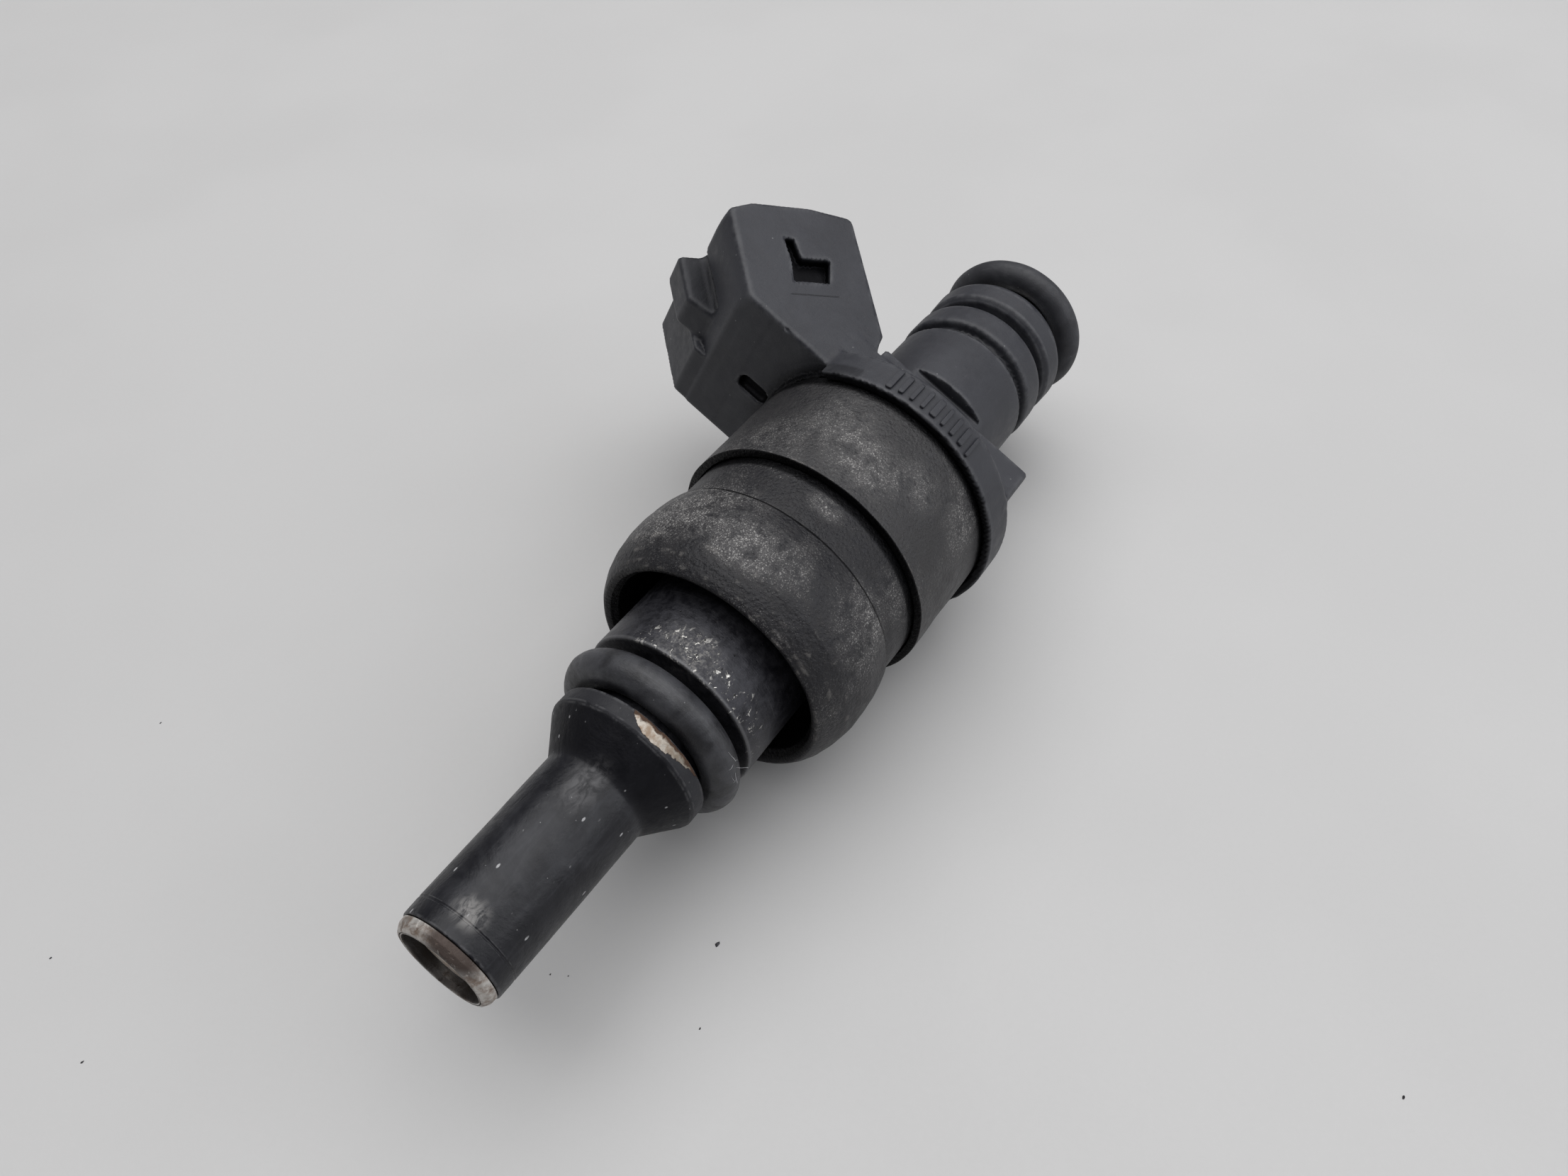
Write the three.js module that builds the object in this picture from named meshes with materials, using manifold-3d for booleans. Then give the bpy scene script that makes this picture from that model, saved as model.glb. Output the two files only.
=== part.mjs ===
// Solenoid fuel injector with a long nozzle, an angled two-pin connector and two sealing rings.
//
// Every piece is drawn in the injector's own frame: x runs along the injector from the nozzle to
// the fuel inlet, y points to the connector's side and z stands square to the connector's plane.
// The finished set is then rolled about x to the attitude in which the injector lies, and moved so
// that the origin is under the middle of its bounding box.

import * as THREE from 'three';
import { mergeVertices } from 'three/addons/utils/BufferGeometryUtils.js';
import Module from 'manifold-3d';

const wasm = await Module();
wasm.setup();

// ---------------------------------------------------------------- driving dimensions, in mm

const REST_ROLL_DEG = 25.8;
const OUTER_SIDES = 40;
const INNER_SIDES = 20;

const NOSE = { low: -34.68, high: -17.57, rTip: 3.81, rRoot: 3.9, rSkirt: 5.96, bore: 3.45 };
const TIP = { low: -35.64, high: -34.42, r: 3.64, bore: 3.02, lip: 0.22 };
const BARREL = { low: -34.36, r: 3.36, chamber: 3.0, bore: 2.2 };
const SEAL_GROOVE = { low: -17.45, high: -13.6, r: 4.45 };
const VALVE_BODY = { r: 6.78, high: 3.4, armatureBore: 4.72, armatureFloor: -4.6 };
const LOWER_RING = { x: -15.62, rOut: 7.22, section: 1.35 };
const UPPER_RING = { x: 38.5, rOut: 6.74, section: 1.23 };

const SHELL = { low: -9.23, high: -1.48, rMax: 10.68, mouth: 9.17, cavity: 8.35, floor: -3.1 };
const YOKE = { low: -1.4, high: 3.25, r: 9.96, bore: 6.9 };
const CAN = { low: 2.66, high: 12.45, r: 10.7, wall: 0.62 };

const COLLAR = { low: 11.84, high: 14.9, r: 11.55 };
const BLOCK = { high: 18.5, halfWidth: 8.75, halfDepth: 7.7, notchLow: 17.5, notchY: 6.12 };
const NECK = { r: 6.25, high: 27.75, bandLow: 28.7, bandHigh: 31.6, bandR: 6.38, grooveR: 5.5 };
const CLIP_FLAT = { high: 21.35, z: 5.2 };
const BACKUP = { low: 32.7, high: 35.75, r: 6.42, bore: 4.3 };

const SOCKET_TILT_DEG = 41;
const HOUSING = { q0: -1.37, q1: 10.0, mouth: 29.3, bow: 0.8, halfWidth: 7.7 };
const SOCKET = { floor: 20.2, q0: 0.0, q1: 8.75, halfWidth: 6.35, corner: 1.4 };
const TERMINAL = { q: 4.35, thick: 0.8, width: 2.4, pitch: 5.2, tip: 25.4, gap: 0.15 };

const TUBE = { low: 4.32, r: 4.2, poleR: 4.6, poleHigh: 12.8, bore: 1.95, bay: 3.4, bayLow: 29.5 };
const FLANGE = { low: 39.9, high: 40.6, r: 5.36 };
const LIFT = 0.1;
const ARMATURE = { low: -4.1, high: 4.2, r: 4.64, bore: 1.2 };
const NEEDLE = { low: -30.35, high: -4.2, r: 0.9 };
const BALL = { x: -31.76, r: 1.6 };

// ---------------------------------------------------------------- helpers

const tilt = THREE.MathUtils.degToRad(SOCKET_TILT_DEG);

/** Point in the connector's plane: c runs out along the socket, q across it towards the inlet. */
function socketPoint(c, q) {
  const x = c * Math.sin(tilt) + q * Math.cos(tilt);
  const y = c * Math.cos(tilt) - q * Math.sin(tilt);
  return new THREE.Vector2(x, y);
}

/** Positions only, shared vertices merged, no zero-area faces, faces turned outwards. */
function clean(geometry) {
  const bare = geometry.clone();
  for (const name of Object.keys(bare.attributes)) {
    if (name !== 'position') bare.deleteAttribute(name);
  }
  const merged = mergeVertices(bare, 1e-4);
  const index = merged.index.array;
  const kept = [];
  for (let i = 0; i < index.length; i += 3) {
    const [a, b, c] = [index[i], index[i + 1], index[i + 2]];
    if (a !== b && b !== c && c !== a) kept.push(a, b, c);
  }
  const position = merged.attributes.position;
  const [p, q, r] = [new THREE.Vector3(), new THREE.Vector3(), new THREE.Vector3()];
  let volume = 0;
  for (let i = 0; i < kept.length; i += 3) {
    p.fromBufferAttribute(position, kept[i]);
    q.fromBufferAttribute(position, kept[i + 1]);
    r.fromBufferAttribute(position, kept[i + 2]);
    volume += p.dot(q.cross(r));
  }
  if (volume < 0) {
    for (let i = 0; i < kept.length; i += 3) {
      [kept[i + 1], kept[i + 2]] = [kept[i + 2], kept[i + 1]];
    }
  }
  merged.setIndex(kept);
  return merged;
}

/** A manifold solid made from a closed geometry. */
function solid(geometry) {
  const shape = clean(geometry);
  const vertProperties = Float32Array.from(shape.attributes.position.array);
  const triVerts = Uint32Array.from(shape.index.array);
  return new wasm.Manifold(new wasm.Mesh({ numProp: 3, vertProperties, triVerts }));
}

/** The geometry of a manifold solid. */
function toGeometry(body) {
  const mesh = body.getMesh();
  const geometry = new THREE.BufferGeometry();
  geometry.setAttribute('position', new THREE.BufferAttribute(mesh.vertProperties, 3));
  geometry.setIndex(new THREE.BufferAttribute(mesh.triVerts, 1));
  return geometry;
}

/**
 * Turned shape about x. The profile holds [x, radius] pairs; off the axis it closes on itself.
 * The sides are phased so that one of them faces straight down once the injector is rolled.
 */
function turned(profile, sides) {
  const points = profile.map(([x, r]) => new THREE.Vector2(r, x));
  const first = points[0];
  const last = points[points.length - 1];
  if (first.x > 0 || last.x > 0) points.push(first.clone());
  const down = Math.PI - THREE.MathUtils.degToRad(REST_ROLL_DEG);
  const start = down - Math.PI / sides;
  return new THREE.LatheGeometry(points, sides, start).rotateZ(-Math.PI / 2);
}

/** A plain ring or tube about x. */
function ring(low, high, rIn, rOut, sides) {
  return turned([[low, rIn], [low, rOut], [high, rOut], [high, rIn]], sides);
}

/** A round-section sealing ring about x. */
function sealRing({ x, rOut, section }, sides, steps) {
  const profile = [];
  for (let i = 0; i < steps; i += 1) {
    const a = (2 * Math.PI * i) / steps;
    profile.push([x + section * Math.sin(a), rOut - section + section * Math.cos(a)]);
  }
  return turned(profile, sides);
}

/** Box between two corners. */
function block(x0, x1, y0, y1, z0, z1) {
  const box = new THREE.BoxGeometry(x1 - x0, y1 - y0, z1 - z0);
  return box.translate((x0 + x1) / 2, (y0 + y1) / 2, (z0 + z1) / 2);
}

/** Corner points rounded off: each entry is a Vector2 and its corner radius. */
function roundedOutline(corners, steps = 3) {
  const out = [];
  const count = corners.length;
  corners.forEach(({ at, radius }, i) => {
    if (!radius) {
      out.push(at.clone());
      return;
    }
    const before = corners[(i + count - 1) % count].at.clone().sub(at).normalize();
    const after = corners[(i + 1) % count].at.clone().sub(at).normalize();
    const half = Math.acos(THREE.MathUtils.clamp(before.dot(after), -1, 1)) / 2;
    const reach = radius / Math.tan(half);
    const start = at.clone().addScaledVector(before, reach);
    const end = at.clone().addScaledVector(after, reach);
    for (let k = 0; k <= steps; k += 1) {
      const t = k / steps;
      const a = start.clone().lerp(at, t);
      const b = at.clone().lerp(end, t);
      out.push(a.lerp(b, t));
    }
  });
  return out;
}

/** Outline in the xy plane given thickness from z0 to z1, with its long edges broken by bevel. */
function slab(outline, z0, z1, bevel = 0) {
  const shape = new THREE.Shape(outline);
  const options = { depth: z1 - z0 - 2 * bevel, bevelEnabled: bevel > 0, curveSegments: 1 };
  if (bevel > 0) {
    Object.assign(options, { bevelThickness: bevel, bevelSize: bevel, bevelOffset: -bevel });
    options.bevelSegments = 2;
  }
  return new THREE.ExtrudeGeometry(shape, options).translate(0, 0, z0 + bevel);
}

/** Rounded rectangle across the socket, run along it from c0 to c1. */
function socketCore(c0, c1, q0, q1, halfWidth, corner) {
  const corners = [[q0, -halfWidth], [q1, -halfWidth], [q1, halfWidth], [q0, halfWidth]];
  const outline = corners.map(([q, z]) => ({ at: new THREE.Vector2(q, z), radius: corner }));
  const shape = new THREE.Shape(roundedOutline(outline));
  const core = new THREE.ExtrudeGeometry(shape, { depth: c1 - c0, bevelEnabled: false });
  const qAxis = new THREE.Vector3(Math.cos(tilt), -Math.sin(tilt), 0);
  const zAxis = new THREE.Vector3(0, 0, 1);
  const cAxis = new THREE.Vector3(Math.sin(tilt), Math.cos(tilt), 0);
  const frame = new THREE.Matrix4().makeBasis(qAxis, zAxis, cAxis);
  return core.translate(0, 0, c0).applyMatrix4(frame);
}

// ---------------------------------------------------------------- nozzle and valve

function noseTube() {
  return turned([
    [NOSE.low, NOSE.bore],
    [NOSE.low, NOSE.rTip - 0.12],
    [NOSE.low + 0.12, NOSE.rTip],
    [NOSE.low + 1.25, NOSE.rTip + 0.01],
    [-21.75, NOSE.rRoot],
    [-21.3, NOSE.rRoot + 0.09],
    [-18.95, NOSE.rSkirt - 0.14],
    [-18.7, NOSE.rSkirt],
    [NOSE.high - 0.12, NOSE.rSkirt],
    [NOSE.high, NOSE.rSkirt - 0.12],
    [NOSE.high, NOSE.bore],
  ], OUTER_SIDES);
}

function tipRing() {
  return turned([
    [TIP.low + TIP.lip, TIP.bore],
    [TIP.low, TIP.bore + 0.14],
    [TIP.low, TIP.r - TIP.lip],
    [TIP.low + TIP.lip, TIP.r],
    [NOSE.low - 0.06, TIP.r],
    [NOSE.low - 0.06, BARREL.r - 0.02],
    [TIP.high, BARREL.r - 0.02],
    [TIP.high, TIP.bore],
  ], OUTER_SIDES);
}

function orificePlate() {
  let plate = solid(turned([[-34.3, 0], [-34.3, 2.9], [-33.96, 2.9], [-33.96, 0]], INNER_SIDES));
  for (let i = 0; i < 4; i += 1) {
    const a = Math.PI / 4 + (i * Math.PI) / 2;
    const hole = new THREE.CylinderGeometry(0.16, 0.16, 2, 10).rotateZ(Math.PI / 2);
    hole.translate(-34.1, 0.42 * Math.cos(a), 0.42 * Math.sin(a));
    plate = plate.subtract(solid(hole));
  }
  return toGeometry(plate);
}

function valveSeat() {
  return turned([
    [-33.88, 0.5],
    [-33.88, 2.9],
    [-31.66, 2.9],
    [-31.66, 2.05],
    [-32.0, 1.9],
  ], INNER_SIDES);
}

function needleGuide() {
  return ring(-31.55, -30.9, BALL.r + 0.06, 2.12, INNER_SIDES);
}

function valveBody() {
  return turned([
    [BARREL.low, BARREL.chamber],
    [BARREL.low, BARREL.r],
    [SEAL_GROOVE.low, BARREL.r],
    [SEAL_GROOVE.low, SEAL_GROOVE.r],
    [SEAL_GROOVE.high, SEAL_GROOVE.r],
    [SEAL_GROOVE.high, VALVE_BODY.r - 0.25],
    [SEAL_GROOVE.high + 0.25, VALVE_BODY.r],
    [VALVE_BODY.high, VALVE_BODY.r],
    [VALVE_BODY.high, VALVE_BODY.armatureBore],
    [VALVE_BODY.armatureFloor, VALVE_BODY.armatureBore],
    [VALVE_BODY.armatureFloor, BARREL.bore],
    [-31.5, BARREL.bore],
    [-31.5, BARREL.chamber],
  ], OUTER_SIDES);
}

function valveBall() {
  return new THREE.SphereGeometry(BALL.r, 16, 10).rotateZ(Math.PI / 2).translate(BALL.x, 0, 0);
}

function needle() {
  return turned([
    [BALL.x + BALL.r + 0.03, 0],
    [BALL.x + BALL.r + 0.03, NEEDLE.r - 0.1],
    [NEEDLE.low + 0.4, NEEDLE.r],
    [NEEDLE.high + 1.6, NEEDLE.r],
    [NEEDLE.high + 1.6, 0],
  ], 24);
}

function armature() {
  let body = solid(turned([
    [ARMATURE.low, NEEDLE.r + 0.04],
    [ARMATURE.low, 3.4],
    [ARMATURE.low + 1.0, ARMATURE.r],
    [ARMATURE.high, ARMATURE.r],
    [ARMATURE.high, 2.3],
    [1.4, 2.3],
    [1.4, NEEDLE.r + 0.04],
  ], INNER_SIDES));
  for (let i = 0; i < 4; i += 1) {
    const port = new THREE.CylinderGeometry(0.55, 0.55, 12, 12).rotateZ(Math.PI / 2);
    port.translate(-3, 0, 1.75).rotateX((i * Math.PI) / 2);
    body = body.subtract(solid(port));
  }
  return toGeometry(body);
}

function returnSpring() {
  const [x0, x1, radius, coils] = [1.75, 16.3, 1.45, 8];
  const points = [];
  const steps = coils * 10;
  for (let i = 0; i <= steps; i += 1) {
    const a = (2 * Math.PI * coils * i) / steps;
    points.push(new THREE.Vector3(x0 + ((x1 - x0) * i) / steps, radius * Math.cos(a),
      radius * Math.sin(a)));
  }
  const wire = [];
  for (let k = 0; k < 5; k += 1) {
    const b = (2 * Math.PI * k) / 5;
    wire.push(new THREE.Vector2(0.28 * Math.cos(b), 0.28 * Math.sin(b)));
  }
  const path = new THREE.CatmullRomCurve3(points);
  const options = { steps: steps, bevelEnabled: false, extrudePath: path };
  return new THREE.ExtrudeGeometry(new THREE.Shape(wire), options);
}

// ---------------------------------------------------------------- magnet circuit

function lowerShell() {
  return turned([
    [SHELL.high, VALVE_BODY.r + 0.12],
    [SHELL.high, 10.3],
    [-1.62, 10.36],
    [-2.9, 10.56],
    [-4.3, SHELL.rMax],
    [-5.6, SHELL.rMax - 0.04],
    [-7.0, 10.45],
    [-8.1, 10.08],
    [-8.8, 9.72],
    [-9.15, 9.4],
    [SHELL.low, SHELL.mouth],
    [-9.05, 8.86],
    [-8.5, SHELL.cavity + 0.12],
    [-7.0, SHELL.cavity],
    [SHELL.floor, SHELL.cavity],
    [SHELL.floor, VALVE_BODY.r + 0.12],
  ], OUTER_SIDES);
}

function yokeRing() {
  return turned([
    [YOKE.low, YOKE.bore],
    [YOKE.low, YOKE.r],
    [YOKE.high, YOKE.r],
    [YOKE.high, YOKE.bore],
  ], OUTER_SIDES);
}

function coilCan() {
  return turned([
    [CAN.low, CAN.r - CAN.wall],
    [CAN.low, CAN.r - 0.08],
    [CAN.low + 0.16, CAN.r],
    [CAN.high - 0.2, CAN.r],
    [CAN.high, CAN.r - 0.2],
    [CAN.high, CAN.r - CAN.wall],
  ], OUTER_SIDES);
}

function spacerRing() {
  return ring(3.55, 6.0, ARMATURE.r + 0.06, 5.55, INNER_SIDES);
}

function bobbin() {
  return turned([
    [3.7, 5.7],
    [3.7, 9.5],
    [4.5, 9.5],
    [4.5, 6.3],
    [10.5, 6.3],
    [10.5, 9.5],
    [11.3, 9.5],
    [11.3, 5.7],
  ], INNER_SIDES);
}

function winding() {
  return ring(4.6, 10.4, 6.4, 9.1, INNER_SIDES);
}

function yokePlate() {
  const plate = solid(ring(11.5, 12.3, TUBE.poleR + 0.08, 9.7, INNER_SIDES));
  return toGeometry(plate.subtract(solid(block(11, 13, 6.3, 12, -4.4, 4.4))));
}

// ---------------------------------------------------------------- fuel path

function inletTube() {
  return turned([
    [TUBE.low, TUBE.bore],
    [TUBE.low, TUBE.poleR],
    [TUBE.poleHigh, TUBE.poleR],
    [TUBE.poleHigh, TUBE.r],
    [FLANGE.low, TUBE.r],
    [FLANGE.low, FLANGE.r - 0.1],
    [FLANGE.low + 0.15, FLANGE.r],
    [FLANGE.high - 0.2, FLANGE.r],
    [FLANGE.high, FLANGE.r - 0.25],
    [FLANGE.high, TUBE.bay + 0.2],
    [FLANGE.high - 0.2, TUBE.bay],
    [TUBE.bayLow, TUBE.bay],
    [TUBE.bayLow, TUBE.bore],
  ], OUTER_SIDES);
}

function adjustingSleeve() {
  return ring(16.7, 22.5, 1.2, TUBE.bore - 0.05, 24);
}

function filterCollar() {
  return ring(34.6, 36.1, 2.72, TUBE.bay - 0.06, INNER_SIDES);
}

function filterFrame() {
  const cage = turned([
    [29.75, 0],
    [29.75, 2.6],
    [36.0, 2.6],
    [36.0, 2.2],
    [30.3, 2.2],
    [30.3, 0],
  ], 24);
  let frame = solid(cage);
  for (let i = 0; i < 3; i += 1) {
    const window = block(31.0, 34.2, -1.35, 1.35, 1.0, 4.0).rotateX((i * 2 * Math.PI) / 3);
    frame = frame.subtract(solid(window));
  }
  return toGeometry(frame);
}

function filterMesh() {
  return ring(30.6, 34.8, 1.95, 2.1, 24);
}

function backupRing() {
  return turned([
    [BACKUP.low, BACKUP.bore],
    [BACKUP.low, BACKUP.r - 0.5],
    [BACKUP.low + 0.2, BACKUP.r - 0.15],
    [BACKUP.low + 0.75, BACKUP.r],
    [BACKUP.high - 0.9, BACKUP.r],
    [BACKUP.high - 0.3, BACKUP.r - 0.2],
    [BACKUP.high, BACKUP.r - 0.75],
    [BACKUP.high, BACKUP.bore],
  ], OUTER_SIDES);
}

// ---------------------------------------------------------------- connector moulding

/** Flat blade from the coil up into the socket, drawn in the connector's plane. */
function terminalOutline(grow) {
  const half = TERMINAL.thick / 2 + grow;
  const foot = new THREE.Vector2(11.55, 8.1);
  const bend = socketPoint(17.6, TERMINAL.q);
  const tip = socketPoint(TERMINAL.tip, TERMINAL.q);
  const across = socketPoint(0, 1).multiplyScalar(half);
  const along = socketPoint(1, 0);
  const run = bend.clone().sub(foot).normalize();
  const side = new THREE.Vector2(run.y, -run.x).multiplyScalar(half);
  foot.addScaledVector(run, -grow);
  return [
    foot.clone().sub(side),
    bend.clone().sub(across),
    tip.clone().sub(across).addScaledVector(along, grow - 0.5),
    tip.clone().sub(across.clone().multiplyScalar(0.4)).addScaledVector(along, grow),
    tip.clone().add(across.clone().multiplyScalar(0.4)).addScaledVector(along, grow),
    tip.clone().add(across).addScaledVector(along, grow - 0.5),
    bend.clone().add(across),
    foot.clone().add(side),
  ];
}

function terminal(side) {
  const z = (side * TERMINAL.pitch) / 2;
  return slab(terminalOutline(0), z - TERMINAL.width / 2, z + TERMINAL.width / 2);
}

/** Outer shape of the connector in its plane, with the mouth bowed outwards in the middle. */
function housingOutline() {
  const { q0, q1, mouth, bow } = HOUSING;
  return roundedOutline([
    { at: new THREE.Vector2(12.95, 3.0), radius: 0 },
    { at: new THREE.Vector2(12.95, 16.95), radius: 0.6 },
    { at: socketPoint(mouth - 0.1, q0), radius: 0.7 },
    { at: socketPoint(mouth + bow, 1.2), radius: 0 },
    { at: socketPoint(mouth + bow, 6.2), radius: 0 },
    { at: socketPoint(mouth + 0.1, q1), radius: 0.6 },
    { at: new THREE.Vector2(19.22, 6.98), radius: 0.45 },
    { at: new THREE.Vector2(18.35, 6.75), radius: 0 },
    { at: new THREE.Vector2(BLOCK.notchLow, BLOCK.notchY + 0.3), radius: 0 },
    { at: new THREE.Vector2(BLOCK.notchLow, 3.0), radius: 0 },
  ]);
}

/** Thicker far half of the nozzle-side wall. */
function stepOutline() {
  const q = HOUSING.q0 - 0.75;
  return [
    new THREE.Vector2(12.95, 14.5),
    socketPoint(22.35, q),
    socketPoint(HOUSING.mouth - 0.25, q),
    socketPoint(HOUSING.mouth, q + 0.3),
    socketPoint(HOUSING.mouth, 0.2),
    new THREE.Vector2(14.2, 14.5),
  ];
}

/** Latch rib along the nozzle-side wall, ramped towards the root. */
function ribOutline() {
  const q = HOUSING.q0 - 1.9;
  return [
    socketPoint(23.2, HOUSING.q0 + 0.5),
    socketPoint(23.6, HOUSING.q0 - 0.1),
    socketPoint(24.6, q + 0.25),
    socketPoint(25.2, q),
    socketPoint(HOUSING.mouth - 0.3, q),
    socketPoint(HOUSING.mouth, q + 0.3),
    socketPoint(HOUSING.mouth, 0.2),
  ];
}

function overmould() {
  const { halfWidth, halfDepth, high, notchLow, notchY } = BLOCK;
  let body = solid(turned([
    [COLLAR.low, 3],
    [COLLAR.low, COLLAR.r - 0.08],
    [COLLAR.low + 0.1, COLLAR.r],
    [COLLAR.high - 0.25, COLLAR.r],
    [COLLAR.high, COLLAR.r - 0.25],
    [COLLAR.high, 3],
  ], OUTER_SIDES));
  const limit = solid(ring(COLLAR.high - 1, high + 1, 1, COLLAR.r - 0.02, OUTER_SIDES));
  const low = block(COLLAR.high - 0.8, high, -halfWidth, notchY, -halfDepth, halfDepth);
  const side = block(COLLAR.high - 0.8, notchLow, 0, halfWidth, -halfDepth, halfDepth);
  body = body.add(solid(low).add(solid(side)).intersect(limit));
  body = body.add(solid(turned([
    [high - 1, 3],
    [high - 1, NECK.r + 0.12],
    [high + 0.6, NECK.r + 0.12],
    [high + 2.4, NECK.r],
    [NECK.high - 0.15, NECK.r - 0.03],
    [NECK.high, NECK.r - 0.2],
    [NECK.high + 0.05, NECK.grooveR],
    [NECK.bandLow - 0.05, NECK.grooveR],
    [NECK.bandLow, NECK.bandR - 0.3],
    [NECK.bandLow + 0.3, NECK.bandR],
    [NECK.bandHigh - 0.7, NECK.bandR],
    [NECK.bandHigh - 0.15, NECK.bandR - 0.25],
    [NECK.bandHigh, NECK.bandR - 0.6],
    [NECK.bandHigh, 3],
  ], OUTER_SIDES)));
  const flats = [-1, 1].map((s) => block(high, CLIP_FLAT.high, -6, 6,
    s > 0 ? CLIP_FLAT.z : -9, s > 0 ? 9 : -CLIP_FLAT.z));
  for (const flat of flats) body = body.subtract(solid(flat));

  const width = HOUSING.halfWidth;
  body = body.add(solid(slab(housingOutline(), -width, width, 0.25)));
  body = body.add(solid(slab(stepOutline(), -width, -1.9, 0)));
  body = body.add(solid(slab(ribOutline(), -1.9, 1.5, 0)));

  const core = socketCore(SOCKET.floor, HOUSING.mouth + 3, SOCKET.q0, SOCKET.q1,
    SOCKET.halfWidth, SOCKET.corner);
  body = body.subtract(solid(core));
  for (const s of [-1, 1]) {
    const z = (s * TERMINAL.pitch) / 2;
    const half = TERMINAL.width / 2 + TERMINAL.gap;
    const slot = slab(terminalOutline(TERMINAL.gap), z - half, z + half);
    body = body.subtract(solid(slot));
  }

  const window = [[22.7, 3.25], [24.8, 3.6], [24.8, 6.75], [22.7, 6.2]];
  const slit = [[24.6, 3.6], [26.7, 3.4], [26.7, 3.95], [24.6, 4.3]];
  for (const corners of [window, slit]) {
    const outline = corners.map(([c, q]) => socketPoint(c, q));
    body = body.subtract(solid(slab(outline, width - 0.95, width + 1)));
  }
  body = body.subtract(solid(block(12, 13.6, 11.3, 13.6, -0.35, 0.25)));

  body = body.subtract(solid(ring(11, CAN.high + 0.3, 8, CAN.r + 0.16, OUTER_SIDES)));
  body = body.subtract(solid(turned([
    [11, 0],
    [11, 9.9],
    [CAN.high + 0.3, 9.9],
    [CAN.high + 0.3, TUBE.poleR + 0.2],
    [TUBE.poleHigh + 0.3, TUBE.poleR + 0.2],
    [TUBE.poleHigh + 0.3, TUBE.r + 0.12],
    [40, TUBE.r + 0.12],
    [40, 0],
  ], OUTER_SIDES)));
  return toGeometry(body);
}

// ---------------------------------------------------------------- materials and assembly

const finish = (color, roughness, metalness) => ({ color, roughness, metalness });
const BLACK_PLASTIC = finish(0x3b3b40, 0.5, 0.0);
const NOSE_PLASTIC = finish(0x2a2a2c, 0.42, 0.0);
const COATED_STEEL = finish(0x4a4543, 0.7, 0.4);
const GUNMETAL = finish(0x55555a, 0.45, 0.8);
const WORN_STEEL = finish(0xa39a8c, 0.5, 0.7);
const BRIGHT_STEEL = finish(0xb4b6ba, 0.3, 0.9);
const RUBBER = finish(0x1c1c1e, 0.65, 0.0);
const BRASS = finish(0xb8975a, 0.35, 0.9);
const COPPER = finish(0xa8623a, 0.4, 0.85);
const NYLON = finish(0x8f8a7c, 0.55, 0.0);

const PIECES = [
  ['nose_tube', noseTube, NOSE_PLASTIC],
  ['tip_ring', tipRing, WORN_STEEL],
  ['orifice_plate', orificePlate, WORN_STEEL],
  ['valve_seat', valveSeat, BRIGHT_STEEL],
  ['needle_guide', needleGuide, BRIGHT_STEEL],
  ['valve_ball', valveBall, BRIGHT_STEEL],
  ['needle', needle, BRIGHT_STEEL],
  ['armature', armature, BRIGHT_STEEL],
  ['return_spring', returnSpring, BRIGHT_STEEL],
  ['valve_body', valveBody, GUNMETAL],
  ['lower_o_ring', () => sealRing(LOWER_RING, OUTER_SIDES, 12), RUBBER],
  ['lower_shell', lowerShell, COATED_STEEL],
  ['yoke_ring', yokeRing, COATED_STEEL],
  ['spacer_ring', spacerRing, BRIGHT_STEEL],
  ['coil_bobbin', bobbin, NYLON],
  ['coil_winding', winding, COPPER],
  ['yoke_plate', yokePlate, BRIGHT_STEEL],
  ['coil_can', coilCan, COATED_STEEL],
  ['inlet_tube', inletTube, BRIGHT_STEEL],
  ['adjusting_sleeve', adjustingSleeve, BRIGHT_STEEL],
  ['filter_collar', filterCollar, BRASS],
  ['filter_frame', filterFrame, NYLON],
  ['filter_mesh', filterMesh, BRIGHT_STEEL],
  ['connector_overmould', overmould, BLACK_PLASTIC],
  ['terminal_upper', () => terminal(1), BRASS],
  ['terminal_lower', () => terminal(-1), BRASS],
  ['backup_ring', backupRing, BLACK_PLASTIC],
  ['upper_o_ring', () => sealRing(UPPER_RING, OUTER_SIDES, 12), RUBBER],
];

const injector = new THREE.Group();
const roll = new THREE.Group();
roll.rotation.x = THREE.MathUtils.degToRad(REST_ROLL_DEG);
for (const [name, build, look] of PIECES) {
  const mesh = new THREE.Mesh(clean(build()), new THREE.MeshStandardMaterial(look));
  mesh.name = name;
  roll.add(mesh);
}
injector.add(roll);
injector.updateMatrixWorld(true);
const bounds = new THREE.Box3().setFromObject(injector, true);
const middle = bounds.getCenter(new THREE.Vector3());
injector.position.set(-middle.x, -middle.y, -bounds.min.z);
injector.updateMatrixWorld(true);

export default injector;
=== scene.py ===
"""Looks for a solenoid fuel injector with a long nozzle and an angled two-pin connector.

Every shape is drawn in the injector's own frame, in millimetres: x runs along the injector from
the nozzle to the fuel inlet, y points to the connector's side and z stands square to the
connector's plane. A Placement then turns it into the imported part's frame, in metres.
"""

import logging
import math
from dataclasses import dataclass, field
from enum import Enum
from functools import reduce
from itertools import product
from typing import Callable, Dict, List, Optional, Sequence, Tuple, Union

import bpy
import numpy as np
from mathutils import Matrix, Vector


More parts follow.
